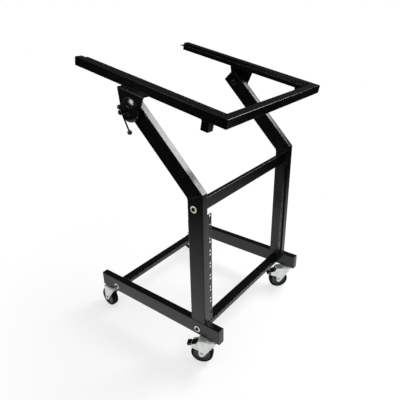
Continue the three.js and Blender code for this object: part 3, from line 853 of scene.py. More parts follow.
class FastenerTree(GeometryTree):
    """Sets a copy of one fastener at each point along the point's aim, each spun a step further."""

    def __init__(self) -> None:
        """Builds the tree."""
        super().__init__("fasteners", {"Fastener": "NodeSocketObject", "Turn": "NodeSocketFloat"})
        info = add_node(self.tree, "GeometryNodeObjectInfo", {"Object": self.entry["Fastener"]})
        aim = self.add("GeometryNodeInputNamedAttribute", {"Name": "aim"}, data_type="FLOAT_VECTOR")
        turn = self.add("FunctionNodeAlignRotationToVector", {"Vector": aim}, axis="Z")
        number = self.add("GeometryNodeInputIndex")
        angle = self.add("ShaderNodeMath", {0: number, 1: self.entry["Turn"]}, operation="MULTIPLY")
        spin = self.add("FunctionNodeAxisAngleToRotation", {"Axis": (0, 0, 1), "Angle": angle})
        both = self.add("FunctionNodeRotateRotation", {"Rotation": turn, "Rotate By": spin},
                        rotation_space="LOCAL")
        self.close(self.add("GeometryNodeInstanceOnPoints", {
            "Points": self.entry["Geometry"], "Instance": info.outputs["Geometry"], "Rotation": both}))


class RowTree(GeometryTree):
    """Repeats the start mesh in an even row, as moulded ribs are."""

    def __init__(self) -> None:
        """Builds the tree."""
        super().__init__("row_of_ribs", {"Count": "NodeSocketInt", "Step": "NodeSocketVector"})
        row = self.add("GeometryNodeMeshLine", {"Count": self.entry["Count"], "Offset": self.entry["Step"]})
        self.close(self.add("GeometryNodeInstanceOnPoints", {"Points": row,
                                                             "Instance": self.entry["Geometry"]}))


def lines_mesh(lines: Sequence[Sequence[Vector]]) -> Mesh:
    """Makes a mesh of bare polylines.

    Args:
        lines: each line's points.

    Returns:
        A mesh with edges only.
    """
    points, edges = [], []
    for line in lines:
        first = len(points)
        points += line
        edges += [(i, i + 1) for i in range(first, len(points) - 1)]
    made = bpy.data.meshes.new("lines")
    made.from_pydata(points, edges, [])
    return made


def aimed_points(places: Sequence[tuple[Vector, Vector]]) -> Mesh:
    """Makes a mesh of points that each know which way their fastener points.

    Args:
        places: each point and its aim.

    Returns:
        A mesh of loose points with the aim as an attribute.
    """
    made = bpy.data.meshes.new("points")
    made.from_pydata([point for point, _ in places], [], [])
    aims = made.attributes.new("aim", "FLOAT_VECTOR", "POINT")
    for index, (_, aim) in enumerate(places):
        aims.data[index].vector = aim
    return made


# Sub-assemblies


@dataclass
class Welder:
    """Collects the weld lines of one body and lays their beads."""

    body: Body
    kind: str = "welds"
    radius: float = 1.7
    pitch: float = 1.2
    ripple: Point = (1.0, 1.0, 0.75)
    lines: list[list[Vector]] = field(default_factory=list)

    def seam(self, *points: Vector) -> None:
        """Adds a weld along a line of points."""
        self.lines.append(list(points))

    def lay(self, tree: WeldTree) -> None:
        """Lays every bead as one piece of the body.

        Args:
            tree: the tree that lays beads along lines.
        """
        mesh = tree.run(lines_mesh(self.lines), FRAME_PAINT, Pitch=self.pitch, Radius=self.radius,
                        Stretch=self.ripple)
        finish_piece(mesh, f"{self.body.value}_{self.kind}", self.body.value, FRAME_PAINT, sharp_degrees=80)


@dataclass
class RackStrip:
    """An angle with rack holes, drawn with its length along Y and its face upwards."""

    outer_x: float
    length: float
    units: int
    thickness: float = 2.0
    leg: float = 18.0
    edge: float = 0.4
    bend: float = 2.4
    crease: float = 0.6
    hole_radius: float = 4.2
    countersink: float = 0.12

    def profile(self) -> list[Flat]:
        """Draws the angle's section: a face with rack holes and a leg that is welded on.

        Returns:
            The section's points across X and Z.
        """
        inner, outer, thick = SIZES.rack_opening / 2, self.outer_x, self.thickness
        return fillet([(inner, 0, self.edge), (inner, thick, self.edge), (outer, thick, self.bend),
                       (outer, -self.leg, self.edge), (outer - thick, -self.leg, self.edge),
                       (outer - thick, 0, self.crease)])

    def punch(self) -> bpy.types.Object:
        """Makes the punch: a round pin that leaves a small countersink.

        Returns:
            A temporary object with its axis along Z.
        """
        radius, thick = self.hole_radius, self.thickness
        cone = radius + self.countersink + self.countersink
        profile = [(radius, -thick), (radius, thick - self.countersink), (cone, thick + self.countersink),
                   (cone, 2 * thick)]
        return temporary(Blank().turned(profile, facets=28).mesh("punch"))

    def mesh(self, tree: RackHoleTree, side: Side, place: Matrix) -> Mesh:
        """Makes the angle, punches its holes and puts it on its side.

        Args:
            tree: the tree that punches.
            side: the side, to which the finished strip is mirrored.
            place: where it goes on the right side.

        Returns:
            The strip's mesh.
        """
        rings = [[Vector((x, y, z)) for x, z in self.profile()] for y in (0, self.length)]
        angle = Blank().skin(rings).mesh("angle")
        punch = self.punch()
        unit = SIZES.rack_unit
        start = (self.length - self.units * unit) / 2
        made = tree.run(angle, FRAME_PAINT, Punch=punch, Units=self.units, Unit=(0, unit, 0),
                        Start=(SIZES.rack_hole_x, start, 0), Low=(0, SIZES.rack_edge, 0),
                        High=(0, unit - SIZES.rack_edge, 0))
        discard(punch)
        made.transform(side.mirror @ place)
        if side is Side.LEFT:
            made.flip_normals()
        return made


@dataclass
class EndPlug:
    """A plastic plug: a crowned plate over the tube's end and a plain core inside it."""

    section: Flat
    corner: float
    plate: float = 2.0
    rim: float = 0.2
    depth: float = 16.0
    core_corner: float = 1.0
    core_sunk: float = 0.1

    def mesh(self, place: Matrix) -> Mesh:
        """Makes the plug with its plate towards local -Y.

        Args:
            place: where the plug goes.

        Returns:
            The plug's mesh.
        """
        width, height = self.section
        # How far each ring stands past the tube's section, and how far it is from the plate's face
        crown = [(-self.rim, self.plate), (0.0, self.plate - self.rim), (0.0, 0.7), (-0.35, 0.25),
                 (-1.0, 0.0)]
        rings = []
        for past, y in crown:
            line = rounded_rectangle(width + 2 * past, height + 2 * past, self.corner + past)
            rings.append([Vector((x, y, z)) for x, z in line])
        blank = Blank().skin(rings, place)
        inside = 2 * (SIZES.wall + SIZES.seat_gap)
        core = rounded_rectangle(width - inside, height - inside, self.core_corner)
        ends = (self.plate - self.core_sunk, self.plate + self.depth)
        return blank.skin([[Vector((x, y, z)) for x, z in core] for y in ends], place).mesh("plug")


@dataclass
class SideFrame:
    """One side: floor rail, plugs, post, arm and lower rack strip."""

    side: Side
    edge: float = 0.35
    strip_length: float = 400.05
    strip_units: int = 9
    strip_top: float = 539.4
    strip_recess: float = 5.4
    plate_inset: float = 1.2
    plate_sunk: float = 0.1
    foot_lift: float = 0.4
    foot_weld_short: float = 1.0
    side_weld_short: float = 2.0
    side_weld_inset: float = 0.2
    bend_weld: float = 10.6
    mitre_weld_short: float = 4.8
    strip_weld: float = 24.0
    strip_weld_shares: tuple[float, ...] = (0.06, 0.36, 0.64, 0.94)

    def tube(self, name: str, length: float, place: Matrix, start: Cut = lambda x, z: 0.0,
             end: Cut = lambda x, z: 0.0) -> None:
        """Builds one of the side's main tubes and dresses it.

        Args:
            name: the node's name after the side's.
            length: length before its mitres are cut.
            place: where the tube goes.
            start: how far its near end moves at a point of the section.
            end: how far its far end moves.
        """
        blank = Blank().tube((SIZES.tube_across, SIZES.tube_deep), SIZES.tube_corner, SIZES.wall, length,
                             place, start, end)
        node = f"{self.side.label}_{name}"
        finish_piece(blank.bevel(self.edge).mesh(node), node, Body.LOWER.value, FRAME_PAINT, [node])

    def build(self, welder: Welder, grinder: Welder, holes: RackHoleTree) -> None:
        """Builds and dresses the whole side.

        Args:
            welder: collects the side's welds.
            grinder: collects its welds that are ground low.
            holes: punches the strip.
        """
        x = self.side.value * SIZES.side_x
        slope = math.tan((math.pi / 2 - SIZES.arm_rise) / 2)
        plug = EndPlug((SIZES.tube_across, SIZES.tube_deep), SIZES.tube_corner)
        rail_start = SIZES.rail_front + plug.plate
        self.tube("floor_rail", SIZES.rail_length - 2 * plug.plate,
                  Matrix.Translation((x, rail_start, SIZES.rail_centre)))
        upright = Matrix.Translation((x, 0, SIZES.rail_top)) @ Matrix.Rotation(math.pi / 2, 4, "X")
        self.tube("post", SIZES.post_height, upright, end=lambda _, z: slope * z)
        leaning = Matrix.Translation((x, 0, SIZES.bend_z)) @ Matrix.Rotation(SIZES.arm_rise, 4, "X")
        gap = SIZES.seat_gap
        self.tube("arm", SIZES.arm_length, leaning, start=lambda _, z: gap - slope * z)
        self.arm_end(leaning)
        for end, y, turn in ((End.FRONT, SIZES.rail_front, 0), (End.REAR, SIZES.rail_rear, math.pi)):
            place = Matrix.Translation((x, y, SIZES.rail_centre)) @ Matrix.Rotation(turn, 4, "Z")
            node = f"{self.side.label}_{end.value}_plug"
            finish_piece(plug.mesh(place), node, Body.LOWER.value, PLUG_PLASTIC, [node])
        self.strip(holes)
        self.welds(welder, x, leaning)
        half_y = SIZES.tube_deep / 2 - self.mitre_weld_short
        for face in (-1, 1):
            across = x + face * SIZES.tube_across / 2
            grinder.seam(*[Vector((across, y, SIZES.bend_z - slope * y)) for y in (-half_y, half_y)])

    def arm_end(self, leaning: Matrix) -> None:
        """Closes the arm's upper end with its welded plate.

        Args:
            leaning: the arm's place.
        """
        line = rounded_rectangle(SIZES.tube_across - 2 * self.plate_inset,
                                 SIZES.tube_deep - 2 * self.plate_inset, SIZES.tube_corner - 1)
        faces = (SIZES.arm_length - SIZES.wall, SIZES.arm_length - self.plate_sunk)
        levels = [[Vector((x, y, z)) for x, z in line] for y in faces]
        node = f"{self.side.label}_arm_end_plate"
        finish_piece(Blank().skin(levels, leaning).mesh(node), node, Body.LOWER.value, FRAME_PAINT)

    def strip(self, holes: RackHoleTree) -> None:
        """Builds the lower rack strip, its face towards the front.

        Args:
            holes: punches the strip.
        """
        strip = RackStrip(SIZES.inner_x, self.strip_length, self.strip_units)
        front = -SIZES.tube_deep / 2 + self.strip_recess + strip.thickness
        foot = Matrix.Translation((0, front, self.strip_top - self.strip_length))
        mesh = strip.mesh(holes, self.side, foot @ Matrix.Rotation(math.pi / 2, 4, "X"))
        node = f"{self.side.label}_lower_rack_strip"
        finish_piece(mesh, node, Body.LOWER.value, FRAME_PAINT, [node])

    def welds(self, welder: Welder, x: float, leaning: Matrix) -> None:
        """Runs the welds round the post's foot, in the bend's inner corner and down the strip.

        Args:
            welder: collects them.
            x: middle of the side's tubes.
            leaning: the arm's place.
        """
        half_x, half_y = SIZES.tube_across / 2 - self.foot_weld_short, SIZES.tube_deep / 2
        foot = SIZES.rail_top + self.foot_lift
        for y in (-half_y, half_y):
            welder.seam(Vector((x - half_x, y, foot)), Vector((x + half_x, y, foot)))
        along = half_y - self.side_weld_short
        for edge in (-1, 1):
            across = x + edge * (half_x - self.side_weld_inset)
            welder.seam(Vector((across, -along, foot)), Vector((across, along, foot)))
        welder.seam(*[leaning @ Vector((step, self.bend_weld, -half_y)) for step in (-half_x, half_x)])
        leg_y = -SIZES.tube_deep / 2 + self.strip_recess + RackStrip.leg + RackStrip.thickness
        near = self.side.value * SIZES.inner_x
        for share in self.strip_weld_shares:
            middle = self.strip_top - self.strip_length * (1 - share)
            welder.seam(*[Vector((near, leg_y, middle + way * self.strip_weld / 2)) for way in (-1, 1)])


@dataclass
class CrossBars:
    """The three cross bars with their screws and washers."""

    wide: float = 38.0
    thin: float = 15.0
    corner: float = 2.0
    edge: float = 0.2
    screw_radius: float = 4.0
    head_radius: float = 6.5
    head: float = 3.5
    head_side: float = 1.2
    head_slope: float = 2.0
    head_middle: float = 2.0
    washer_radius: float = 11.0
    washer: float = 1.6
    socket_radius: float = 3.2
    socket_depth: float = 2.5
    socket_turn: float = 0.9
    reach: float = 39.0

    def bars(self) -> dict[str, tuple[Flat, float, float]]:
        """Lists the bars.

        Returns:
            For each bar's node, its section and its place along Y and Z.
        """
        return {
            "front_lower_cross_bar": ((self.wide, self.thin), SIZES.bar_y, SIZES.lower_bar_z),
            "rear_lower_cross_bar": ((self.wide, self.thin), SIZES.rear_bar_y, SIZES.lower_bar_z),
            "upper_cross_bar": ((self.thin, self.wide), SIZES.bar_y, SIZES.upper_bar_z),
        }

    def build(self, fasteners: FastenerTree) -> None:
        """Builds the bars, then all their screws and washers.

        Args:
            fasteners: sets the copies of screw and washer.
        """
        places = []
        nodes = []
        length = 2 * SIZES.inner_x
        for node, (section, y, z) in self.bars().items():
            place = Matrix.Translation((-length / 2, y, z)) @ Matrix.Rotation(-math.pi / 2, 4, "Z")
            blank = Blank().tube(section, self.corner, SIZES.wall, length, place).bevel(self.edge)
            finish_piece(blank.mesh(node), node, Body.LOWER.value, FRAME_PAINT, [node])
            for side in Side:
                places.append((Vector((side.value * SIZES.outer_x, y, z)), Vector((side.value, 0, 0))))
                nodes.append(f"{node}_{side.label}_screw")
        for label, blank, finish, stands_for in (("screws", self.screw(), SCREW_STEEL, nodes),
                                                 ("washers", self.washer_ring(), WASHER_ZINC, ())):
            item = temporary(blank.mesh(label))
            mesh = fasteners.run(aimed_points(places), finish, Fastener=item, Turn=self.socket_turn)
            discard(item)
            finish_piece(mesh, f"cross_bar_{label}", Body.LOWER.value, finish, stands_for)

    def screw(self) -> Blank:
        """Makes a button-head screw with a hexagon socket, its shank down from the washer's seat.

        Returns:
            The screw along Z, the washer's seat at 0.
        """
        low, top = self.washer, self.washer + self.head
        profile = fillet([(self.screw_radius, -self.reach, 0), (self.screw_radius, low, 0),
                          (self.head_radius, low, 0.3), (self.head_radius, low + self.head_side, 1.0),
                          (self.head_radius - self.head_slope, top, 1.6), (self.head_middle, top, 0)],
                         closed=False)
        outline = polygon(self.socket_radius, sides=6)
        socket = Blank().plate(outline, top - self.socket_depth, top + CLEAR)
        return Blank().turned(profile, facets=40).combine(socket, Way.CUT)

    def washer_ring(self) -> Blank:
        """Makes a flat washer with softened edges.

        Returns:
            The washer, lying on Z 0.
        """
        bore = self.screw_radius + SIZES.seat_gap
        outer, thick = self.washer_radius, self.washer
        profile = fillet([(bore, 0, 0), (outer, 0, 0.3), (outer, thick, 0.5), (bore, thick, 0.2)])
        return Blank().turned(profile, loop=True, facets=56)


@dataclass
class TopFrame:
    """The tilting frame: rails, front bar, plugs, strips, brackets and stubs, drawn about the pivot."""

    width: float = 549.0
    length: float = 576.0
    tube: float = 27.0
    corner: float = 2.5
    rail_corner: float = 1.7
    below_rail: float = 53.6
    pivot_from_front: float = 317.3
    edge: float = 0.3
    strip_below_top: float = 6.5
    strip_units: int = 12
    stub: float = 25.0
    stub_height: float = 27.0
    stub_from_front: float = 64.5
    stub_weld_short: float = 1.0
    plate_inner: float = 286.0
    plate: float = 3.0
    plate_radius: float = 36.0
    plate_front: float = -49.3
    plate_rear: float = 55.7
    plate_corner: float = 3.0
    plate_bevel: float = 0.45
    flange: float = 25.0
    bend: float = 5.0
    plate_weld: Flat = (4.0, 34.0)
    plate_weld_inset: float = 1.5
    plate_weld_lift: float = 0.6
    corner_weld_short: float = 3.0

    @property
    def rail_x(self) -> float:
        """Middle of a top rail."""
        return (self.width - self.tube) / 2

    @property
    def rail_z(self) -> float:
        """Height of the rails' middles above the pivot."""
        return self.below_rail + self.tube / 2

    @property
    def bar_y(self) -> float:
        """Middle of the front bar."""
        return -self.pivot_from_front + self.tube / 2

    def piece(self, blank: Blank | Mesh, name: str, finish: Finish, nodes: Sequence[str]) -> None:
        """Moves a shape drawn about the pivot into place and dresses it.

        Args:
            blank: the shape.
            name: the piece's name.
            finish: its surface finish.
            nodes: the CAD nodes that it stands for.
        """
        mesh = blank.mesh(name) if isinstance(blank, Blank) else blank
        mesh.transform(SIZES.on_pivot)
        finish_piece(mesh, name, Body.TOP.value, finish, nodes)

    def build(self, welder: Welder, holes: RackHoleTree) -> None:
        """Builds and dresses the whole top frame.

        Args:
            welder: collects its welds.
            holes: punches its strips.
        """
        section = (self.tube, self.tube)
        half = self.tube / 2
        plug = EndPlug(section, self.corner)
        rail_length = self.length - half - plug.plate
        bar = 2 * self.rail_x
        place = (Matrix.Translation((-bar / 2, self.bar_y, self.rail_z))
                 @ Matrix.Rotation(-math.pi / 2, 4, "Z"))
        front = Blank().tube(section, self.rail_corner, SIZES.wall, bar, place,
                             start=lambda u, _: -u, end=lambda u, _: u)
        self.piece(front.bevel(self.edge), "top_front_bar", FRAME_PAINT, ["top_front_bar"])
        for side in Side:
            x = side.value * self.rail_x
            gap = SIZES.seat_gap * math.sqrt(2)
            rail = Blank().tube(section, self.rail_corner, SIZES.wall, rail_length,
                                Matrix.Translation((x, self.bar_y, self.rail_z)),
                                start=lambda u, _, s=side.value: gap - s * u)
            node = f"{side.label}_top_rail"
            self.piece(rail.bevel(self.edge), node, FRAME_PAINT, [node])
            rear = self.bar_y + rail_length + SIZES.seat_gap + plug.plate
            end = Matrix.Translation((x, rear, self.rail_z)) @ Matrix.Rotation(math.pi, 4, "Z")
            node = f"{side.label}_top_plug"
            self.piece(plug.mesh(end), node, PLUG_PLASTIC, [node])
            self.strip(side, holes)
            self.stop_stub(side, welder)
            self.bracket(side, welder)
            self.corner_weld(side, welder)

    def strip(self, side: Side, holes: RackHoleTree) -> None:
        """Builds an upper rack strip, its face a step below the rail's top.

        Args:
            side: which side's.
            holes: punches the strip.
        """
        half, gap = self.tube / 2, SIZES.seat_gap
        strip = RackStrip(self.width / 2 - self.tube, self.length - self.tube - 2 * gap, self.strip_units)
        height = self.below_rail + self.tube - self.strip_below_top - strip.thickness
        mesh = strip.mesh(holes, side, Matrix.Translation((0, self.bar_y + half + gap, height)))
        node = f"{side.label}_upper_rack_strip"
        self.piece(mesh, node, FRAME_PAINT, [node])

    def stop_stub(self, side: Side, welder: Welder) -> None:
        """Builds the short upright tube that keeps the frame off the arm.

        Args:
            side: which side's.
            welder: collects its welds.
        """
        y = -self.pivot_from_front + self.stub_from_front
        x = side.value * SIZES.side_x
        top = self.below_rail - SIZES.seat_gap
        place = Matrix.Translation((x, y, top)) @ Matrix.Rotation(-math.pi / 2, 4, "X")
        node = f"{side.label}_stop_stub"
        blank = Blank().tube((self.stub, self.stub), self.corner, SIZES.wall, self.stub_height, place)
        self.piece(blank.bevel(self.edge), node, FRAME_PAINT, [node])
        half = self.stub / 2 - self.stub_weld_short
        for along in (-1, 1):
            face = y + along * self.stub / 2
            welder.seam(*[SIZES.on_pivot @ Vector((x + way * half, face, top)) for way in (-1, 1)])

    def bracket(self, side: Side, welder: Welder) -> None:
        """Builds the bent pivot plate: a flange under the rail and a round end about the pivot.

        Args:
            side: which side's.
            welder: collects its welds.
        """
        inner, outer, radius = self.plate_inner, self.plate_inner + self.plate, self.plate_radius
        top, front, rear = self.below_rail - SIZES.seat_gap, self.plate_front, self.plate_rear
        first, last = tangent((front, top), radius, 1), tangent((rear, top), radius, -1) + 2 * math.pi
        outline = fillet([(rear, top, self.plate_corner), (front, top, self.plate_corner),
                          *arc((0, 0), radius, first, last, 36)])
        low, start, under = -radius - CLEAR, inner - self.flange, top - self.plate
        angle = fillet([(start, under, 0), (inner, under, self.bend - self.plate), (inner, low, 0),
                        (outer, low, 0), (outer, top, self.bend), (start, top, 0)])
        rings = [[Vector((x, y, z)) for x, z in angle] for y in (front - CLEAR, rear + CLEAR)]
        blank = Blank().plate(outline, start - CLEAR, outer + CLEAR, SIDE_VIEW)
        blank.combine(Blank().skin(rings), Way.MEET).bevel(self.plate_bevel)
        blank.move(side.mirror)
        node = f"{side.label}_pivot_bracket"
        self.piece(blank, node, FRAME_PAINT, [node])
        edge, lift = side.value * (self.width / 2 - self.plate_weld_inset), top + self.plate_weld_lift
        near, far = self.plate_weld
        for ends in ((front + near, front + far), (rear - far, rear - near)):
            welder.seam(*[SIZES.on_pivot @ Vector((edge, along, lift)) for along in ends])

    def corner_weld(self, side: Side, welder: Welder) -> None:
        """Runs the bead below the strip in the inner corner where rail and front bar meet.

        Args:
            side: which side's.
            welder: collects it.
        """
        x = side.value * (self.width / 2 - self.tube)
        y = self.bar_y + self.tube / 2
        low = self.rail_z - self.tube / 2 + self.corner_weld_short
        high = self.rail_z + self.corner_weld_short
        welder.seam(*[SIZES.on_pivot @ Vector((x, y, z)) for z in (low, high)])


@dataclass
class Clutch:
    """One pivot's hand clutch: lining, nut, cover disc, screw and tommy bar."""

    side: Side
    lean: float
    disc_inner: float = 275.0
    disc_outer: float = 285.7
    plate_outer: float = 289.0
    cover_outer: float = 298.0
    cover_radius: float = 36.0
    cover_rim: float = 1.4
    dome_top: float = 17.0
    dome_radius: float = 39.6
    dome_angles: Flat = (0.602, 0.087)
    dome_steps: int = 14
    lining_radius: float = 24.0
    bore: float = 6.3
    flange_radius: float = 15.0
    flange: float = 3.5
    neck: float = 10.0
    head: float = 15.0
    head_radius: float = 7.5
    screw_radius: float = 6.0
    end_radius: float = 2.0
    thread_past_nut: float = 2.0
    nut_flats: float = 19.0
    nut_height: float = 8.0
    nut_chamfer: Flat = (1.6, 1.2)
    rod_radius: float = 2.4
    rod_bore_reach: float = 12.0
    ball_radius: float = 7.0
    ball_centres: float = 75.0
    ball_steps: int = 16
    ball_pole: float = 0.08

    def place(self) -> Matrix:
        """Gives the place of a shape drawn about local X for the right side."""
        return Matrix.Translation(SIZES.pivot) @ self.side.mirror

    def piece(self, blank: Blank, name: str, body: str, finish: Finish) -> None:
        """Moves a shape drawn for the right side into place and dresses it."""
        node = f"{self.side.label}_{name}"
        finish_piece(blank.move(self.place()).mesh(node), node, body, finish, [node])

    def ring(self, corners: Sequence[Corner]) -> Blank:
        """Makes a turned ring about X from the corners of its section."""
        return Blank().turned(fillet(corners), ALONG_X, loop=True, facets=72)

    def build(self) -> None:
        """Builds and dresses the clutch."""
        low, high, bore = self.disc_inner, self.disc_outer, self.bore
        wide = self.lining_radius
        self.piece(self.ring([(bore, low, 0), (wide, low, 0.4), (wide, high, 0.4), (bore, high, 0)]),
                   "friction_disc", Body.LOWER.value, FRICTION_LINING)
        self.piece(self.nut(), "pivot_nut", Body.LOWER.value, BLACK_STEEL)
        base, top, radius = self.plate_outer, self.cover_outer, self.cover_radius
        cover = self.ring([(bore, base, 0), (radius, base, 0.4), (radius, base + self.cover_rim, 0.4),
                           *self.dome(), (bore, top, 0)])
        self.piece(cover, "cover_disc", Body.TOP.value, BLACK_STEEL)
        self.piece(self.screw(), "clutch_screw", f"{self.side.label}_clutch", BLACK_STEEL)
        self.tommy_bar()

    def dome(self) -> list[Corner]:
        """Draws the cover's domed face.

        Returns:
            The face's points from its rim to its flat top, each without a radius.
        """
        first, last = self.dome_angles
        points = []
        for step in range(self.dome_steps + 1):
            angle = first + (last - first) * step / self.dome_steps
            rise = math.cos(last) - math.cos(angle)
            points.append((self.dome_top + self.dome_radius * (math.sin(angle) - math.sin(last)),
                           self.cover_outer - self.dome_radius * rise, 0))
        return points

    def nut(self) -> Blank:
        """Makes the chamfered hexagon nut on the arm's inner face.

        Returns:
            The nut about X, drawn for the right side.
        """
        inner, face = SIZES.inner_x, SIZES.inner_x - self.nut_height
        corner = self.nut_flats / math.sqrt(3)
        blank = Blank().plate(polygon(corner, sides=6), face, inner, ALONG_X)
        across, along = self.nut_chamfer
        past = corner + 0.2
        round_off = [(corner - across, face), (past, face + along), (past, inner)]
        return blank.combine(Blank().turned(round_off, ALONG_X), Way.MEET)

    def screw(self) -> Blank:
        """Makes the clutch screw: thread end, flange, neck and the cross-bored head.

        Returns:
            The screw about X, drawn for the right side.
        """
        flange_x = self.cover_outer + SIZES.seat_gap
        head_x = flange_x + self.flange + self.neck
        end_x = head_x + self.head
        thread = SIZES.inner_x - self.nut_height - self.thread_past_nut
        profile = fillet([
            (self.screw_radius, thread, 0.8), (self.screw_radius, flange_x, 0.2),
            (self.flange_radius, flange_x, 0.5), (self.flange_radius, flange_x + self.flange, 1.2),
            (self.screw_radius, flange_x + self.flange, 1.0), (self.screw_radius, head_x, 0.6),
            (self.head_radius, head_x, 0.8), (self.head_radius, end_x, 2.0), (self.end_radius, end_x, 0)],
            closed=False)
        bore, reach = self.rod_radius + SIZES.seat_gap, self.rod_bore_reach
        leaning = Matrix.Translation((head_x + self.head / 2, 0, 0)) @ Matrix.Rotation(-self.lean, 4, "X")
        bored = Blank().turned([(bore, -reach), (bore, reach)], leaning, facets=24)
        return Blank().turned(profile, ALONG_X, facets=56).combine(bored, Way.CUT)

    def tommy_bar(self) -> None:
        """Makes the sliding bar with a ball at each end; its upper ball rests on the head."""
        upper = self.head_radius + self.ball_radius + SIZES.seat_gap
        lower = upper - self.ball_centres
        neck = math.asin(self.rod_radius / self.ball_radius)
        ball = []
        for step in range(self.ball_steps + 1):
            turn = (math.pi - neck - self.ball_pole) * step / self.ball_steps
            angle = -math.pi / 2 + self.ball_pole + turn
            ball.append((self.ball_radius * math.cos(angle), self.ball_radius * math.sin(angle)))
        profile = [(r, lower + z) for r, z in ball] + [(r, upper - z) for r, z in reversed(ball)]
        x = self.side.value * (self.cover_outer + SIZES.seat_gap + self.flange + self.neck + self.head / 2)
        place = Matrix.Translation(SIZES.pivot + Vector((x, 0, 0))) @ Matrix.Rotation(-self.lean, 4, "X")
        node = f"{self.side.label}_tommy_bar"
        blank = Blank().turned(profile, place, facets=40)
        finish_piece(blank.mesh(node), node, f"{self.side.label}_tommy", BLACK_STEEL, [node])


@dataclass
class Caster:
    """A swivel caster drawn about its swivel axis, trailing towards +Y, Z 0 at the rail."""

    side: Side
    end: End
    turn: float
    inset: float = 40.0
    trail: float = 31.0
    wheel_radius: float = 37.5
    wheel_width: float = 25.0
    race_radius: float = 21.0
    race: float = 5.0
    gap: float = 0.5
    sheet: float = 2.5
    crown: float = 3.5
    front_reach: float = 19.0
    rear_reach: float = 30.0
    boss_radius: float = 9.5
    hood: float = 12.0
    king_pin: float = 5.0
    king_head: float = 8.0
    king_head_height: float = 3.0
    king_end: float = 2.0
    king_thread: float = 14.0
    rim_roll: float = 1.8
    hub_half: float = 14.0
    hub_radius: float = 9.0
    dish_step: float = 3.0
    dish_radius: float = 24.5
    rim_slope: float = 1.5
    rim_inset: float = 0.6
    seat_radius: float = 28.5
    seat_overlap: float = 0.1
    axle_radius: float = 4.0
    axle_head: float = 3.5
    axle_head_turn: float = 0.2
    axle_nut: float = 4.5
    axle_nut_turn: float = 0.7
    nut_radius: float = 6.5
    shoulder: float = 3.6
    pin_y: float = 48.0
    pin_radius: float = 2.5
    tyre_gap: float = 1.2
    ear_above_pin: float = 5.0
    ear_tip_y: float = 65.0
    ear_tip_drop: float = 0.5
    ear_tip: float = 12.2
    ear_root: float = 16.5
    pedal_hub: float = 4.0
    pedal_half: float = 11.0
    pedal_fall: float = math.atan2(8, 33)
    pedal_length: float = math.hypot(8, 33)
    pad: float = 13.5
    pad_gap: float = 2.8
    pad_start: float = 2.0
    pad_heights: Flat = (0.2, 3.7)
    pad_deep: float = 5.0
    lever_heights: Flat = (-1.5, 1.0)
    lever_inset: float = 0.6
    rib_heights: Flat = (3.4, 4.0)
    rib_wide: float = 1.2
    rib_inset: float = 1.5
    rib_start: float = 1.6
    rib_pitch: float = 2.9
    rib_count: int = 4

    @property
    def label(self) -> str:
        """The caster's name in piece names."""
        return f"{self.side.label}_{self.end.value}"

    @property
    def braked(self) -> bool:
        """Whether it has a brake pedal: the front ones do."""
        return self.end is End.FRONT

    @property
    def place(self) -> Matrix:
        """Place of the whole caster.

        Returns:
            The matrix that stands it under the rail, turned to its trail.
        """
        y = SIZES.rail_front + self.inset if self.end is End.FRONT else SIZES.rail_rear - self.inset
        stem = Matrix.Translation((self.side.value * SIZES.side_x, y, SIZES.rail_bottom))
        return stem @ Matrix.Rotation(self.turn, 4, "Z")

    @property
    def axle_z(self) -> float:
        """Height of the axle from the rail's underside."""
        return self.wheel_radius - SIZES.rail_bottom

    @property
    def pin_z(self) -> float:
        """Height of the pedal's pin, which keeps its hub just off the tyre."""
        apart = self.wheel_radius + self.tyre_gap + self.pedal_hub
        return self.axle_z + math.sqrt(apart ** 2 - (self.pin_y - self.trail) ** 2)

    @property
    def leg_inside(self) -> float:
        """Where the inner face of the fork's leg is."""
        return self.hub_half + self.gap

    @property
    def leg_outside(self) -> float:
        """Where the outer face of the fork's leg is."""
        return self.leg_inside + self.sheet

    def piece(self, blank: Blank, name: str, body: str, finish: Finish, nodes: Sequence[str] = ()) -> None:
        """Moves a shape drawn about the swivel axis into place and dresses it."""
        finish_piece(blank.move(self.place).mesh(name), f"{self.label}_{name}", body, finish,
                     [f"{self.label}_{node}" for node in nodes])

    def build(self, ribs: RowTree) -> None:
        """Builds and dresses the caster.

        Args:
            ribs: repeats the pedal's moulded ribs.
        """
        swivel, wheel = f"{self.label}_swivel", f"{self.label}_wheel"
        self.piece(self.stem(), "caster_stem", Body.LOWER.value, BRIGHT_ZINC, ["caster_stem"])
        self.piece(self.fork(), "caster_fork", swivel, BRIGHT_ZINC, ["caster_fork"])
        self.piece(self.tyre(), "caster_tyre", wheel, TYRE_RUBBER, ["caster_wheel"])
        self.piece(self.core(), "caster_core", wheel, CORE_PLASTIC)
        self.piece(self.axle(), "caster_axle", swivel, BRIGHT_ZINC, ["caster_axle"])
        if self.braked:
            brake = f"{self.label}_brake"
            self.piece(self.pedal(), "brake_pedal", brake, PEDAL_PLASTIC, ["brake_pedal"])
            self.piece(self.lever(), "brake_lever", brake, BRIGHT_ZINC)
            mesh = ribs.run(self.rib().mesh("rib"), PEDAL_PLASTIC, Count=self.rib_count,
                            Step=self.rib_step())
            mesh.transform(self.place)
            finish_piece(mesh, f"{self.label}_pedal_ribs", brake, PEDAL_PLASTIC)

    def stem(self) -> Blank:
        """Makes the race, whose rim is rolled, with the king pin's head below and thread above.

        Returns:
            The stem about Z.
        """
        under = -self.race - self.gap - self.crown - self.gap
        pin, head, end, thread = self.king_pin, self.king_head, self.king_end, self.king_thread
        low = under - self.king_head_height
        profile = fillet([
            (end, low, 0), (head, low, 1.2), (head, under, 0.3), (pin, under, 0.2), (pin, -self.race, 0.2),
            (self.race_radius - 2.5, -self.race, 0.8), (self.race_radius, -self.race + self.rim_roll, 1.2),
            (self.race_radius - 0.8, 0, 0.8), (pin, 0, 0), (pin, thread, 0.5), (end, thread, 0)],
            closed=False)
        return Blank().turned(profile, facets=56)

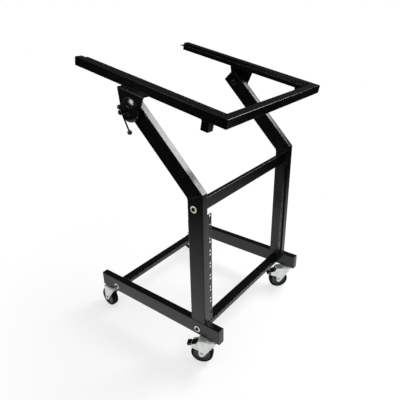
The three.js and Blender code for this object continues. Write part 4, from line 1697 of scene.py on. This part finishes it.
    def fork(self) -> Blank:
        """Makes the pressed fork: a bent channel cut to the legs' outline, with a round cup on top.

        Returns:
            The fork, ears included where it has a brake.
        """
        top = -self.race - self.gap
        inside, outside = self.leg_inside, self.leg_outside
        low = self.axle_z - self.boss_radius - CLEAR
        touch = tangent((-self.front_reach - self.trail, top - self.crown - self.axle_z), self.boss_radius, 1)
        legs: list[Corner] = [(-self.front_reach, top, 2.0), (-self.front_reach, top - self.crown, 1.0),
                              *arc((self.trail, self.axle_z), self.boss_radius, touch, 2 * math.pi, 20)]
        back = self.trail + self.boss_radius
        if self.braked:
            tip = self.pin_z - self.ear_tip_drop
            legs += [(back, self.axle_z + self.ear_root, 3.5), (self.ear_tip_y, tip - self.ear_tip, 2.0),
                     (self.ear_tip_y, tip, 2.5), (self.pin_y, self.pin_z + self.ear_above_pin, 4.0),
                     (back, top, 2.0)]
        else:
            legs += [(back, top - self.hood - self.boss_radius, 4.0),
                     (self.rear_reach + self.boss_radius, top, 3.0)]
        channel = fillet([(-outside, low, 0), (-outside, top, 4.0), (outside, top, 4.0), (outside, low, 0),
                          (inside, low, 0), (inside, top - self.crown, 1.5), (-inside, top - self.crown, 1.5),
                          (-inside, low, 0)])
        ends = (-self.front_reach - CLEAR, self.ear_tip_y + CLEAR)
        rings = [[Vector((x, y, z)) for x, z in channel] for y in ends]
        blank = Blank().plate(fillet(legs), -outside - CLEAR, outside + CLEAR, SIDE_VIEW)
        blank.combine(Blank().skin(rings), Way.MEET)
        bore = self.king_pin + SIZES.seat_gap
        cup = fillet([(bore, top - self.crown, 0), (self.race_radius - 0.6, top - self.crown, 0.8),
                      (self.race_radius, top - 0.4, 1.0), (bore, top, 0)])
        blank.combine(Blank().turned(cup, loop=True, facets=56), Way.JOIN)
        return blank.bevel(0.35)

    def about_axle(self) -> Matrix:
        """Gives the place of a shape drawn about local Z that belongs on the axle."""
        return Matrix.Translation((0, self.trail, self.axle_z)) @ ALONG_X

    def tyre(self) -> Blank:
        """Makes the tyre: flat walls, round shoulders and a flat tread.

        Returns:
            The tyre on the axle.
        """
        half, radius, inner = self.wheel_width / 2, self.wheel_radius, self.seat_radius
        one = [(inner, half - 1, 0.4), (inner + 2, half, 0.6), (radius - 3.5, half, 2.4),
               (radius, half - self.shoulder, 3.4)]
        profile = fillet([(r, -z, corner) for r, z, corner in one] + one[::-1])
        return Blank().turned(profile, self.about_axle(), loop=True, facets=80)

    def core(self) -> Blank:
        """Makes the dished wheel core with its hub.

        Returns:
            The core on the axle.
        """
        half, hub = self.wheel_width / 2 - self.rim_inset, self.hub_half
        dish, rim = half - self.dish_step, self.dish_radius + self.rim_slope
        bore, seat = self.axle_radius + SIZES.seat_gap, self.seat_radius + self.seat_overlap
        one = [(bore, hub, 0), (self.hub_radius, hub, 0.8), (self.hub_radius + self.dish_step, dish, 1.5),
               (self.dish_radius, dish, 1.5), (rim, half, 0.6), (seat, half, 0.4)]
        profile = fillet([(r, -z, corner) for r, z, corner in one] + one[::-1])
        return Blank().turned(profile, self.about_axle(), loop=True, facets=64)

    def axle(self) -> Blank:
        """Makes the axle bolt: a round shank with a hexagon head and nut outside the fork.

        Returns:
            The bolt on the axle.
        """
        seat = self.leg_outside + SIZES.seat_gap
        end = seat + self.axle_nut
        place = self.about_axle()
        shank = [(self.axle_radius, -seat - 0.2), (self.axle_radius, end + 0.1)]
        blank = Blank().turned(shank, place, facets=32)
        for low, high, turn in ((-seat - self.axle_head, -seat, self.axle_head_turn),
                                (seat, end, self.axle_nut_turn)):
            outline = polygon(self.nut_radius, sides=6, turn=turn)
            blank.shape.from_mesh(Blank().plate(outline, low, high, place).bevel(0.5).mesh("nut"))
        return blank

    def lever_place(self) -> Matrix:
        """Gives the place of a shape drawn flat along Y from the pedal's pin."""
        return Matrix.Translation((0, self.pin_y, self.pin_z)) @ Matrix.Rotation(-self.pedal_fall, 4, "X")

    def pedal(self) -> Blank:
        """Makes the moulded part of the pedal: hub, a pad between the ears and a deep one past them.

        Returns:
            The moulded part, hung from the pin.
        """
        place = self.lever_place()
        half, length = self.pedal_half, self.pedal_length
        outer = length - self.pad
        blank = Blank().box((-half, half), (self.pad_start, outer - self.pad_gap), self.pad_heights, place)
        blank.box((-half, half), (outer, length), (-self.pad_deep, self.pad_heights[1]), place)
        blank.bevel(0.7, steps=3)
        return blank.turned([(self.pedal_hub, -half), (self.pedal_hub, half)], place @ ALONG_X, facets=32)

    def lever(self) -> Blank:
        """Makes the steel of the pedal: a flat lever inside the pads, on a pin through both ears.

        Returns:
            The lever with its pin.
        """
        place = self.lever_place()
        half, start = self.pedal_half - self.lever_inset, self.pad_start
        blank = Blank().box((-half, half), (start, self.pedal_length - start), self.lever_heights, place)
        blank.bevel(0.3)
        pin = [(self.pin_radius, -self.leg_outside), (self.pin_radius, self.leg_outside)]
        return blank.turned(pin, place @ ALONG_X, facets=24)

    def rib(self) -> Blank:
        """Makes one grip rib on the outer pad, across the pedal.

        Returns:
            The rib nearest the pin.
        """
        half = self.pedal_half - self.rib_inset
        start = self.pedal_length - self.pad + self.rib_start
        rib = Blank().box((-half, half), (start, start + self.rib_wide), self.rib_heights, self.lever_place())
        return rib.bevel(0.25)

    def rib_step(self) -> Point:
        """Gives the step from one rib to the next, along the lever."""
        return tuple(self.lever_place().to_3x3() @ Vector((0, self.rib_pitch, 0)))


# Studio


@dataclass(frozen=True)
class Lamp:
    """A square soft lamp: its place, its aim, its size in metres, its watts and its cone in degrees."""

    name: str
    place: Point
    aim: Point
    size: float
    power: float
    spread: float = 180.0

    def hang(self) -> None:
        """Hangs the lamp where the camera doesn't see it."""
        data = bpy.data.lights.new(self.name, "AREA")
        data.shape, data.size = "SQUARE", self.size
        data.energy, data.spread = self.power, math.radians(self.spread)
        lamp = bpy.data.objects.new(self.name, data)
        lamp.location = self.place
        lamp.visible_camera = False
        lamp.rotation_euler = (Vector(self.aim) - Vector(self.place)).to_track_quat("-Z", "Y").to_euler()
        bpy.context.scene.collection.objects.link(lamp)


# A strong key from the right, a wide weak one overhead, and a narrow one for the left clutch's gloss
LAMPS = (Lamp("key_softbox", (1.62, -0.95, 2.2), (0, 0, 0.6), 1.1, 56.0),
         Lamp("overhead_softbox", (-0.2, 0.3, 2.6), (0, 0, 0.4), 1.6, 4.0),
         Lamp("clutch_lamp", (-0.72, 0.19, 1.03), (-0.298, 0.022, 0.822), 0.26, 0.12, 40.0))


@dataclass
class Studio:
    """A pale sheet on the floor, the room and the camera at the photograph's angle, in metres."""

    camera_place: Point = (-1.09129, -0.85719, 1.08959)
    azimuth: float = math.radians(-51.787)
    elevation: float = math.radians(25.278)
    roll: float = math.radians(-1.300)
    focal_pixels: float = 414.47
    image_pixels: float = 400.0
    sensor_mm: float = 36.0
    white: str = "#ffffff"
    paper: str = "#f2f2f2"
    sheet_radius: float = 2.2
    sheet_sides: int = 96
    sheet_thick: float = 0.01
    # Middle and fading of the painted pool of light that gloss sees on the sheet
    sheet_centre: Point = (0.1, -0.1, 0.0)
    sheet_fade: Flat = (0.4, 1.55)
    shadow_centre: Point = (0.0, 0.0, 0.0)
    shadow_fade: Flat = (0.5, 1.0)
    shadow_share: float = 0.35
    room_rise: Flat = (0.0, 0.35)
    room_low: float = 0.015
    room_high: float = 0.05
    room_soft: float = 0.7

    def build(self) -> None:
        """Sets up the whole studio."""
        self.camera()
        self.world()
        self.floor()
        for lamp in LAMPS:
            lamp.hang()
        bpy.context.scene.view_settings.view_transform = "Standard"

    def camera(self) -> None:
        """Stands the camera where the photograph was taken from."""
        azimuth, elevation, roll = self.azimuth, self.elevation, self.roll
        back = Vector((math.sin(azimuth) * math.cos(elevation), -math.cos(azimuth) * math.cos(elevation),
                       math.sin(elevation)))
        right = Vector((math.cos(azimuth), math.sin(azimuth), 0))
        up = back.cross(right)
        level = math.cos(roll) * right + math.sin(roll) * up
        upright = math.cos(roll) * up - math.sin(roll) * right
        data = bpy.data.cameras.new("camera")
        data.sensor_width = self.sensor_mm
        data.lens = self.focal_pixels * self.sensor_mm / self.image_pixels
        camera = bpy.data.objects.new("camera", data)
        camera.matrix_world = Matrix.Translation(self.camera_place) @ Matrix(
            (level, upright, back)).transposed().to_4x4()
        bpy.context.scene.collection.objects.link(camera)
        bpy.context.scene.camera = camera

    def world(self) -> None:
        """Makes the surroundings: white past the stand, a dim room for gloss, a soft one for light."""
        world = bpy.data.worlds.new("studio")
        world.use_nodes = True
        bpy.context.scene.world = world
        tree = world.node_tree
        tree.nodes.clear()
        rays = add_node(tree, "ShaderNodeLightPath").outputs
        seen = add_node(tree, "ShaderNodeMath", {0: rays["Is Camera Ray"], 1: rays["Is Transmission Ray"]},
                        operation="MAXIMUM").outputs[0]
        height = add_node(tree, "ShaderNodeSeparateXYZ", {0: add_node(tree, "ShaderNodeTexCoord").outputs[0]})
        wall = add_node(tree, "ShaderNodeMapRange", {
            "Value": height.outputs[2], 1: self.room_rise[0], 2: self.room_rise[1], 3: self.room_low,
            4: self.room_high})
        plain = add_node(tree, "ShaderNodeMix", {0: rays["Is Glossy Ray"], 2: self.room_soft,
                                                 3: wall.outputs[0]})
        strength = add_node(tree, "ShaderNodeMix", {0: seen, 2: plain.outputs[0], 3: 1.0})
        room = add_node(tree, "ShaderNodeBackground", {"Color": linear(self.white),
                                                       "Strength": strength.outputs[0]})
        add_node(tree, "ShaderNodeOutputWorld", {"Surface": room.outputs[0]})

    def floor(self) -> None:
        """Lays the pale sheet: white to the eye with the stand's soft shadow kept, and in gloss a painted
        pool of light that fades away from the stand.
        """
        outline = polygon(self.sheet_radius, self.sheet_sides)
        mesh = Blank().plate(outline, -self.sheet_thick, 0.0).mesh("floor_sheet")
        floor = temporary(mesh)
        material = bpy.data.materials.new("pale_paper_sheet")
        material.use_nodes = True
        tree = material.node_tree
        tree.nodes.clear()
        place = add_node(tree, "ShaderNodeTexCoord").outputs["Object"]
        rays = add_node(tree, "ShaderNodeLightPath").outputs
        # Painted pool of light: in gloss the sheet glows white near the stand and fades to nothing further
        # out
        reach = self.fade(tree, place, self.sheet_centre, self.sheet_fade, 1.0, 0.0)
        keep = self.fade(tree, place, self.shadow_centre, self.shadow_fade, 1 - self.shadow_share, 1.0)
        paper = add_node(tree, "ShaderNodeBsdfDiffuse", {"Color": linear(self.paper)})
        white = add_node(tree, "ShaderNodeEmission", {"Color": linear(self.white), "Strength": 1.0})
        painted_pool_glow = add_node(tree, "ShaderNodeEmission", {"Color": linear(self.white), "Strength": reach})
        seen = add_node(tree, "ShaderNodeMath", {0: rays["Is Camera Ray"], 1: rays["Is Transmission Ray"]},
                        operation="MAXIMUM")
        share = add_node(tree, "ShaderNodeMath", {0: seen.outputs[0], 1: keep}, operation="MULTIPLY")
        both = add_node(tree, "ShaderNodeMixShader", {0: share.outputs[0], 1: paper.outputs[0],
                                                      2: white.outputs[0]})
        gloss = add_node(tree, "ShaderNodeMixShader", {0: rays["Is Glossy Ray"], 1: both.outputs[0],
                                                       2: painted_pool_glow.outputs[0]})
        add_node(tree, "ShaderNodeOutputMaterial", {"Surface": gloss.outputs[0]})
        mesh.materials.append(material)

    def fade(self, tree: Tree, place: Socket, centre: Point, radius: Flat, near: float,
             far: float) -> Socket:
        """Makes a value that goes smoothly from near to far between two distances from a centre.

        Args:
            tree: the material's tree.
            place: the point on the sheet.
            centre: the middle of the fade.
            radius: where it starts and where it ends.
            near: the value inside.
            far: the value outside.

        Returns:
            The value's socket.
        """
        away = add_node(tree, "ShaderNodeVectorMath", {0: place, 1: centre}, operation="DISTANCE")
        faded = add_node(tree, "ShaderNodeMapRange", {
            "Value": away.outputs["Value"], 1: radius[0], 2: radius[1], 3: near, 4: far},
            interpolation_type="SMOOTHSTEP")
        return faded.outputs[0]


def main() -> None:
    """Builds every sub-assembly in order and then the studio."""
    logging.basicConfig(level=logging.INFO, format="%(message)s")
    holes, fasteners, ribs, beads = RackHoleTree(), FastenerTree(), RowTree(), WeldTree()
    lower_welds, top_welds = Welder(Body.LOWER), Welder(Body.TOP)
    mitre_welds = Welder(Body.LOWER, "mitre_welds", radius=1.4, pitch=1.0)
    for side in Side:
        SideFrame(side).build(lower_welds, mitre_welds, holes)
    CrossBars().build(fasteners)
    TopFrame().build(top_welds, holes)
    for side, lean in TOMMY_LEANS.items():
        Clutch(side, math.radians(lean)).build()
    for (side, end), turn in CASTER_TURNS.items():
        Caster(side, end, math.radians(turn)).build(ribs)
    for welder in (lower_welds, mitre_welds, top_welds):
        welder.lay(beads)
    Studio().build()


if __name__ == "__main__":
    main()
